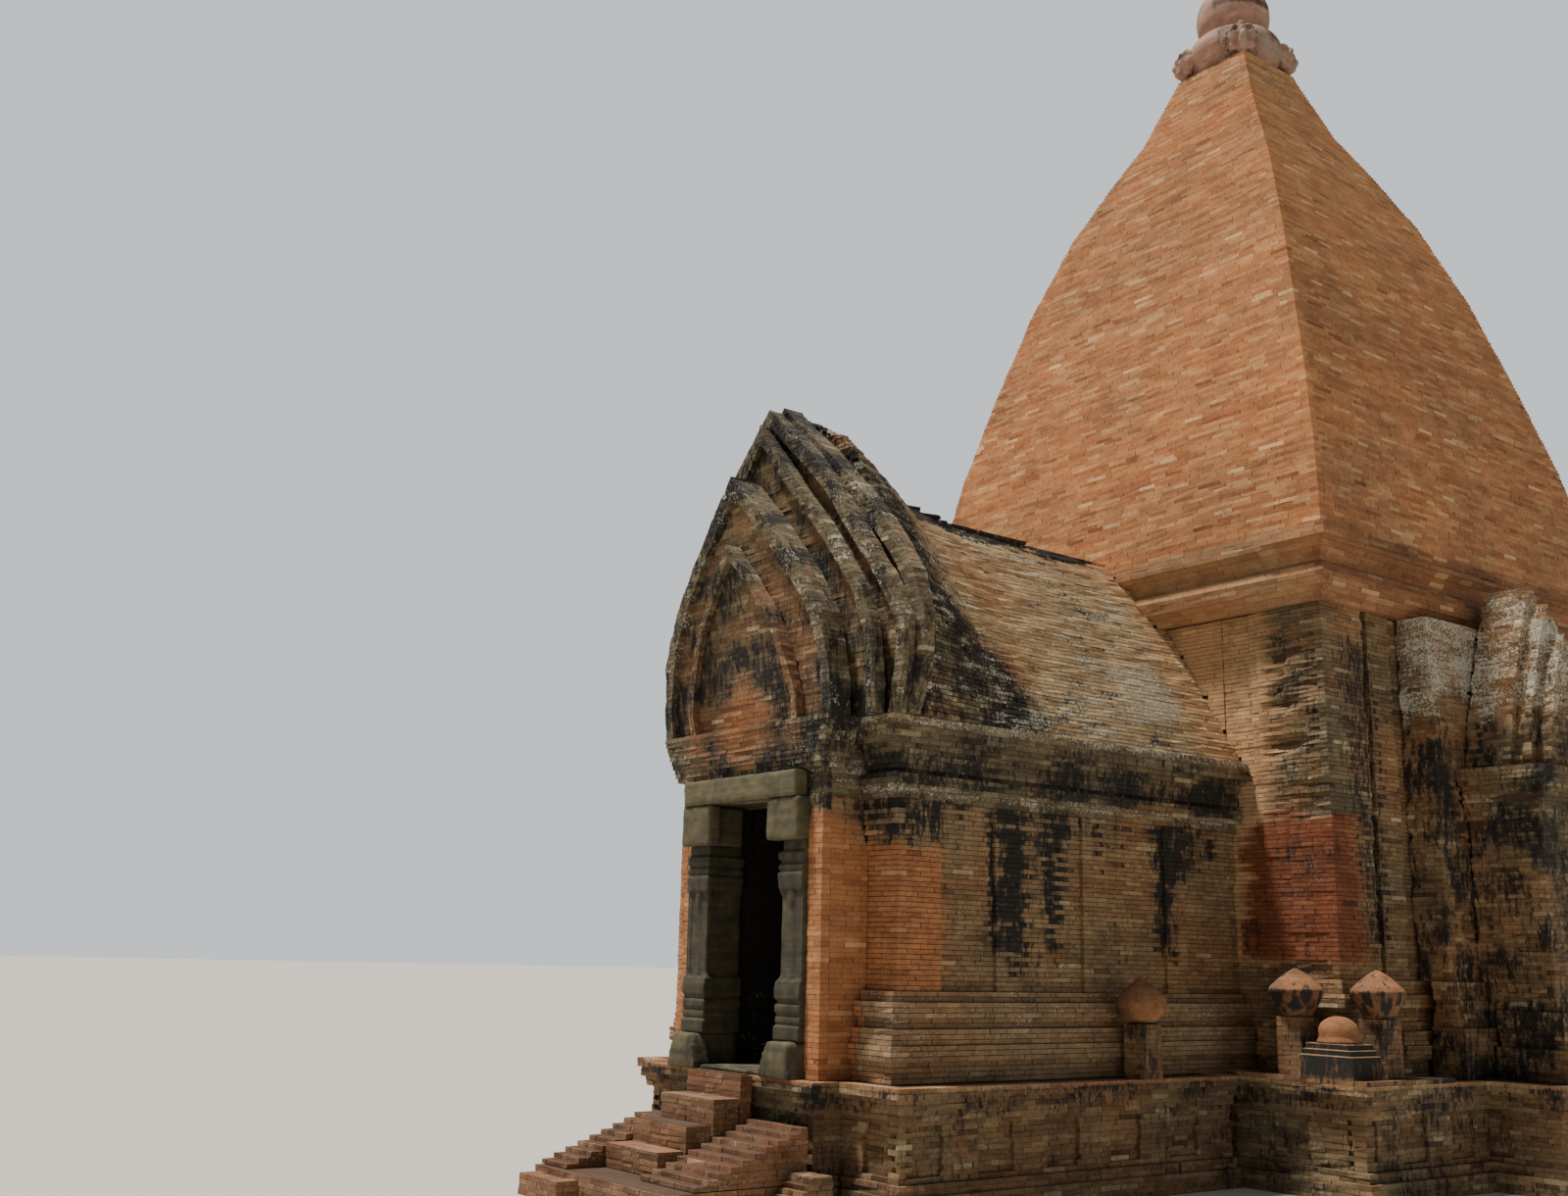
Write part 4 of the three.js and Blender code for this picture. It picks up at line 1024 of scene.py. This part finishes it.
def leaf(x, y, z, width, thick, height):
    """A pointed leaf whose tip points up, or down where its height is negative."""
    steps = []
    for share, wide in [(0, 0.85), (0.35, 1), (0.65, 0.75), (0.88, 0.35), (1, 0.05)]:
        half, deep = wide * width / 2, wide * thick / 2
        steps.append((z + share * height, x - half, x + half, y - deep, y + deep))
    return drawn_up("leaf", steps, 12)


def joined(name, pieces):
    """One object out of several."""
    bpy.ops.object.select_all(action="DESELECT")
    for piece in pieces:
        piece.select_set(True)
    bpy.context.view_layer.objects.active = pieces[0]
    if len(pieces) > 1:
        bpy.ops.object.join()
    pieces[0].name = name
    return pieces[0]


def own_copy(model, place):
    """A copy of a model with its own mesh, moved by a matrix."""
    copy = model.copy()
    copy.data = model.data.copy()
    copy.data.transform(place)
    bpy.context.scene.collection.objects.link(copy)
    return copy


def carved(name, pieces, grain, dents, lumps=0.12):
    """One stone out of joined shapes, its edges rounded and its faces dented by age."""
    stone = joined(name, pieces)
    skin = stone.modifiers.new("skin", "REMESH")
    skin.mode = "VOXEL"
    skin.voxel_size = grain
    bpy.ops.object.modifier_apply(modifier="skin")
    texture = bpy.data.textures.new(name, "CLOUDS")
    texture.noise_scale = lumps
    texture.noise_depth = 4
    worn = stone.modifiers.new("worn", "DISPLACE")
    worn.texture = texture
    worn.strength = 2 * dents
    worn.mid_level = 0.5
    bpy.ops.object.modifier_apply(modifier="worn")
    bpy.ops.object.shade_smooth()
    return stone


def dress(piece, node, material, shade):
    """Stains of a modelled piece, its material, and the CAD node that it stands for."""
    points = np.empty(len(piece.data.vertices) * 3)
    piece.data.vertices.foreach_get("co", points)
    points = points.reshape(-1, 3)
    stains, _ = weather(node, points)
    bands, spots = drift(points, (0.4, 0.4, 0.02), 31), drift(points, 0.07, 32)
    stain(piece.data, stains, shade + 0.18 * bands + 0.12 * spots)
    finish_piece(piece, material, node)


def set_stone(node, parts, grain, dents, shade=0.5):
    """The carved stone that stands for a CAD node, out of its joined parts."""
    dress(carved(node + "_stone", parts, grain, dents), node, SLOTS[node], shade)


def mirrored(sign, inner, outer):
    """Left and right end of a span on the left (-1) or the right (1) of the door."""
    return sorted((sign * inner, sign * outer))


# Mouldings of a door jamb that run round its front and inner faces: [height, how far they project]
JAMB = [
    (1.49, 0.045), (1.63, 0.045), (1.635, 0.012), (1.655, 0.012), (1.66, 0.035), (1.715, 0.035),
    (1.72, 0.008), (1.745, 0.010), (1.755, 0.038), (1.835, 0.042), (1.84, 0.015), (1.865, 0.015),
    (1.89, 0.045), (1.98, 0.047), (2.06, 0.036), (2.07, 0.0), (2.95, 0.0), (2.96, 0.03),
    (3.115, 0.042), (3.12, 0.012), (3.145, 0.012), (3.15, 0.034), (3.20, 0.034), (3.205, 0.008),
    (3.24, 0.01), (3.25, 0.038), (3.325, 0.036), (3.33, 0.0), (3.44, 0.0),
]
JAMB_INNER, JAMB_OUTER, JAMB_FRONT, JAMB_BACK = 0.66, 1.03, -8.9, -8.46

# Back of the broad head of a base stone or capital, and front of the narrow tail that it overlaps
HEAD_BACK, TAIL_FRONT = -8.87, -8.88

# Leaves of a jamb: foot and height of those at its corners and of those between
CORNER_LEAVES = [(2.0, 0.11, 0.13), (3.02, 0.12, -0.16)]
MIDDLE_LEAVES = [(2.0, 0.13, 0.17), (3.02, 0.14, -0.3)]

# Front of a jamb's base stone: [height, inner edge, outer edge], and where and how it leans back
JAMB_FOOT = [
    (1.15, 0.56, 1.06), (1.2, 0.565, 1.055), (1.33, 0.61, 1.02), (1.44, 0.645, 1.01), (1.49, 0.68, 0.98),
]
FOOT_FRONT, FOOT_LEANS_FROM, FOOT_LEAN = -9.08, 1.4, 0.3


def jamb(side, sign):
    """A door jamb: a square pillar whose collars have leaf tips at the corners and a long one between."""
    shaft = []
    for z, out in JAMB:
        left, right = mirrored(sign, JAMB_INNER - out, JAMB_OUTER)
        shaft.append((z, left, right, JAMB_FRONT - out, JAMB_BACK))
    parts = [drawn_up("shaft", shaft)]
    for x in (JAMB_INNER + 0.02, JAMB_OUTER - 0.06):
        for z, width, height in CORNER_LEAVES:
            parts.append(leaf(sign * x, JAMB_FRONT + 0.015, z, width, 0.1, height))
    middle = sign * (JAMB_INNER + JAMB_OUTER - 0.04) / 2
    for z, width, height in MIDDLE_LEAVES:
        parts.append(leaf(middle, JAMB_FRONT, z, width, 0.05, height))
    for x in (0.075, 0.03):
        left, right = mirrored(sign, JAMB_OUTER - x, JAMB_OUTER - x + 0.022)
        parts.append(block("fillet", (left, JAMB_FRONT - 0.016, 2.05), (right, JAMB_FRONT + 0.02, 2.98)))
    # The jamb's low shade makes it darker than the lintel: painted shade below the lintel.
    set_stone(f"door_column_{side}", parts, 0.016, 0.003, 0.2)


def door_frame():
    """Jambs between base stones and capitals that reach back beside the door, the lintel and the sill."""
    for side, sign in (("left", -1), ("right", 1)):
        jamb(side, sign)
        foot = []
        for z, inner, outer in JAMB_FOOT:
            left, right = mirrored(sign, inner, outer)
            front = FOOT_FRONT + FOOT_LEAN * max(0, z - FOOT_LEANS_FROM)
            foot.append((z, left, right, front, HEAD_BACK))
        node = f"door_base_{side}"
        low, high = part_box(node)
        left, right = mirrored(sign, JAMB_INNER, JAMB_OUTER)
        tail = block("tail", (left, TAIL_FRONT, low[2]), (right, high[1], high[2]))
        set_stone(node, [drawn_up("foot", foot), tail], 0.025, 0.008, 0.4)
        node = f"door_capital_{side}"
        low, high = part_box(node)
        head = block("head", low, (high[0], HEAD_BACK, high[2]))
        tail = block("tail", (left, TAIL_FRONT, low[2]), (right, high[1], high[2]))
        set_stone(node, [head, tail], 0.025, 0.008, 0.42)
    for node in ("door_lintel", "door_sill"):
        set_stone(node, [block(node, *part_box(node))], 0.025, 0.007)


# Crowning stone: [radius, height] up its bulging ring and up its head
CROWN_RING = [
    (0.50, 15.70), (0.53, 15.73), (0.59, 15.79), (0.655, 15.87), (0.70, 15.95), (0.716, 16.03),
    (0.715, 16.10), (0.695, 16.18), (0.65, 16.26), (0.58, 16.33), (0.52, 16.36), (0.44, 16.37),
]
CROWN_HEAD = [
    (0.38, 16.37), (0.44, 16.40), (0.50, 16.47), (0.535, 16.56), (0.55, 16.66), (0.552, 16.76),
    (0.538, 16.87), (0.505, 16.97), (0.45, 17.06), (0.37, 17.15), (0.28, 17.22), (0.19, 17.28),
    (0.11, 17.32), (0.03, 17.355),
]

# Leaf at a corner of the ring: [distance out, distance sideways, height, size]
CROWN_LEAF = [
    (0.72, 0.00, 16.21, 0.07), (0.79, 0.00, 16.15, 0.07), (0.83, 0.00, 16.04, 0.09),
    (0.90, 0.00, 15.95, 0.06), (0.83, 0.00, 15.87, 0.09), (0.76, 0.00, 15.79, 0.08),
    (0.72, 0.11, 16.14, 0.08), (0.78, 0.12, 15.99, 0.09), (0.73, 0.13, 15.86, 0.08),
    (0.70, 0.21, 16.08, 0.055), (0.71, 0.23, 15.98, 0.055), (0.68, 0.22, 15.89, 0.05),
]


def crown():
    """The bulging ring with a carved leaf at each corner, and the round head on top of it."""
    lumps = []
    for out, aside, z, size in CROWN_LEAF:
        for offset in sorted({aside, -aside}):
            lumps.append(lump((out, offset, z), (size, 0.85 * size, 1.1 * size)))
    bpy.ops.object.select_all(action="DESELECT")
    for aside in (0.10, -0.10):
        bpy.ops.mesh.primitive_torus_add(
            major_radius=0.06, minor_radius=0.025, major_segments=20, minor_segments=8,
            location=(0.84, aside, 16.07), rotation=(0, math.pi / 2, 0),
        )
        bpy.ops.object.transform_apply(location=True, rotation=True, scale=True)
        lumps.append(bpy.context.object)
    corner = joined("corner_leaf", lumps)
    parts = [turned("ring", CROWN_RING, 64)]
    for turn in range(4):
        parts.append(own_copy(corner, Matrix.Rotation(math.radians(45 + 90 * turn), 4, "Z")))
    bpy.data.objects.remove(corner)
    set_stone("crown_ring", parts, 0.022, 0.006)
    set_stone("crown_head", [turned("head", CROWN_HEAD, 48)], 0.03, 0.008)


# Buds and the small stupas: [radius, height], and where their masonry stops
BASE_TOP = 1.2
RIMMED_BUD = [
    (0.15, 1.80), (0.17, 1.81), (0.175, 1.85), (0.212, 1.90), (0.25, 1.965), (0.275, 2.03),
    (0.287, 2.06), (0.289, 2.085), (0.272, 2.11), (0.23, 2.15), (0.17, 2.205), (0.105, 2.255),
    (0.045, 2.293), (0.012, 2.31),
]
ONION_BUD = [
    (0.13, 1.72), (0.15, 1.73), (0.20, 1.775), (0.24, 1.825), (0.262, 1.875), (0.26, 1.93),
    (0.235, 1.985), (0.195, 2.035), (0.14, 2.08), (0.09, 2.115), (0.05, 2.15), (0.02, 2.18),
    (0.008, 2.20),
]
STUPA_DOME = [
    (0.20, 1.54), (0.224, 1.552), (0.222, 1.575), (0.207, 1.60), (0.20, 1.63), (0.203, 1.67),
    (0.198, 1.71), (0.178, 1.75), (0.14, 1.785), (0.09, 1.812), (0.04, 1.823), (0.012, 1.825),
]

# Block and slabs of a small stupa: [half width, half depth, height]
STUPA_SLABS = [
    (0.315, 0.250, 1.20), (0.315, 0.250, 1.415), (0.315, 0.250, 1.43),
    (0.282, 0.234, 1.431), (0.282, 0.234, 1.478), (0.282, 0.234, 1.49),
    (0.256, 0.223, 1.491), (0.256, 0.223, 1.538), (0.256, 0.223, 1.55),
]

# Corners of the tower's plinth, and on which side of the middle lines they lie
PLINTH_CORNERS = [
    ("front_right", 1, -1), ("back_right", 1, 1), ("back_left", -1, 1), ("front_left", -1, -1),
]

# Distances from the tower's middle lines, across and along, of the ornaments on a corner of its plinth
BUD_PLACES = [(2.83, 3.54), (3.49, 3.03)]
STUPA_PLACE = (3.33, 3.54)
STUPA_REACH = (3.005, 3.24)      # where the stupa's block begins
BUD_FOOT = 1.81

HALL_BUD_PLACE = (2.135, -5.24)
HALL_BUD_FOOT = 1.72


def post_masonry(node, top):
    """The bricks of an ornament's base and posts, below its modelled top."""
    rng = np.random.default_rng([SEED, *node.encode()])
    rows = brick_rows(node, rng, 0.07)
    low, high = rows[:, 6], rows[:, 7]
    base = low < BASE_TOP - 0.01
    in_stupa = (np.abs(rows[:, :2]) > STUPA_REACH).all(axis=1)
    if node.startswith("corner"):
        high[base] = np.minimum(high[base], BASE_TOP)
        low[~base] = np.maximum(low[~base], BASE_TOP)
        rows = rows[base | ((high < top + 0.02) & ~in_stupa)]
    else:
        rows = rows[high < top + 0.02]
    bricks = brick_mesh(node, node + "_bricks", rows, rng, 0.003, kiln=0.08)
    finish_piece(bricks, "new_brick", node)
    finish_piece(core_mesh(node + "_core", node, 0.035), "core", node)


def ornaments():
    """Small stupas and buds: modelled once, with a copy for each place."""
    bud = carved("rimmed_bud", [turned("bud", RIMMED_BUD, 20)], 0.02, dents=0.003, lumps=0.08)
    onion = carved("onion_bud", [turned("bud", ONION_BUD, 32)], 0.02, dents=0.003, lumps=0.08)
    slabs = drawn_up("slabs", [(z, -wide, wide, -deep, deep) for wide, deep, z in STUPA_SLABS])
    bpy.ops.object.mode_set(mode="EDIT")
    bpy.ops.mesh.subdivide(number_cuts=5)
    bpy.ops.object.mode_set(mode="OBJECT")
    dome = turned("dome", STUPA_DOME, 32)
    bpy.ops.object.shade_smooth()
    stupa = joined("stupa", [slabs, dome])
    models = [(bud, *BUD_PLACES[0]), (bud, *BUD_PLACES[1]), (stupa, *STUPA_PLACE)]
    for corner, across, along in PLINTH_CORNERS:
        node = f"corner_stupas_{corner}"
        post_masonry(node, BUD_FOOT)
        for model, x, y in models:
            place_copy(model, node, across * x, along * y)
    for side, sign in (("left", -1), ("right", 1)):
        node = f"vestibule_bud_{side}"
        post_masonry(node, HALL_BUD_FOOT)
        place_copy(onion, node, sign * HALL_BUD_PLACE[0], HALL_BUD_PLACE[1])
    for model in (bud, onion, stupa):
        bpy.data.objects.remove(model)


def place_copy(model, node, x, y):
    """A copy of a modelled ornament at its place, with its own stains."""
    copy = own_copy(model, Matrix.Translation((x, y, 0)))
    copy.name = f"{node}_{model.name}_{'x' if abs(x) > abs(y) else 'y'}"
    dress(copy, node, "new_brick", 0.3)


# Floor, light and camera

# The photograph's camera: turn, tilt and roll in degrees, place in metres, focal length on a 36 mm frame
CAMERA_ANGLES = (53.385, 12.905, 1.433)
CAMERA_PLACE = (13.419, -18.449, 2.305)
FOCAL_LENGTH = 35.82

SUN = (0.21, 0.26, -0.943)       # the way the key light shines


def stage():
    """Pale floor, a soft key light from high on the front left, and a wide fill."""
    bpy.ops.mesh.primitive_plane_add(size=400, location=(0, 0, 0))
    floor = bpy.context.object
    floor.name = "floor"
    material, _, shader, _ = new_material("pale_plaster_floor", 0.8)
    shader.inputs["Base Color"].default_value = linear("#c2beb5")
    floor.data.materials.append(material)

    world = bpy.data.worlds.new("studio")
    bpy.context.scene.world = world
    world.use_nodes = True
    tree = world.node_tree
    background = tree.nodes["Background"]
    background.inputs["Color"].default_value = linear("#e4eaf0")
    # The backdrop shows bright, while the fill that it sheds on the walls stays low
    seen = add_node(tree, "ShaderNodeLightPath").outputs["Is Camera Ray"]
    strength = add_node(tree, "ShaderNodeMapRange", {"Value": seen, "To Min": 0.32, "To Max": 1.0})
    tree.links.new(strength.outputs["Result"], background.inputs["Strength"])

    sun = bpy.data.objects.new("key", bpy.data.lights.new("key", "SUN"))
    sun.data.energy = 6.0
    sun.data.angle = math.radians(6)
    sun.data.color = (1.0, 0.95, 0.88)
    sun.rotation_euler = Vector(SUN).to_track_quat("-Z", "Y").to_euler()
    bpy.context.scene.collection.objects.link(sun)


def camera():
    """The photograph's view: from the front right, a little above eye height, looking up."""
    yaw, pitch, roll = (math.radians(angle) for angle in CAMERA_ANGLES)
    ahead = Vector((-math.sin(yaw) * math.cos(pitch), math.cos(yaw) * math.cos(pitch), math.sin(pitch)))
    right = ahead.cross(Vector((0, 0, 1))).normalized()
    up = right.cross(ahead)
    level, tipped = right.copy(), up.copy()
    right = math.cos(roll) * level + math.sin(roll) * tipped
    up = math.cos(roll) * tipped - math.sin(roll) * level
    lens = bpy.data.cameras.new("camera")
    lens.lens = FOCAL_LENGTH
    lens.sensor_width = 36
    lens.sensor_fit = "HORIZONTAL"
    lens.clip_end = 500
    eye = bpy.data.objects.new("camera", lens)
    turn = Matrix((right, up, -ahead)).transposed().to_4x4()
    eye.matrix_world = Matrix.Translation(CAMERA_PLACE) @ turn
    bpy.context.scene.collection.objects.link(eye)
    bpy.context.scene.camera = eye


camera()
stage()
roof()
walls()
door_frame()
crown()
ornaments()
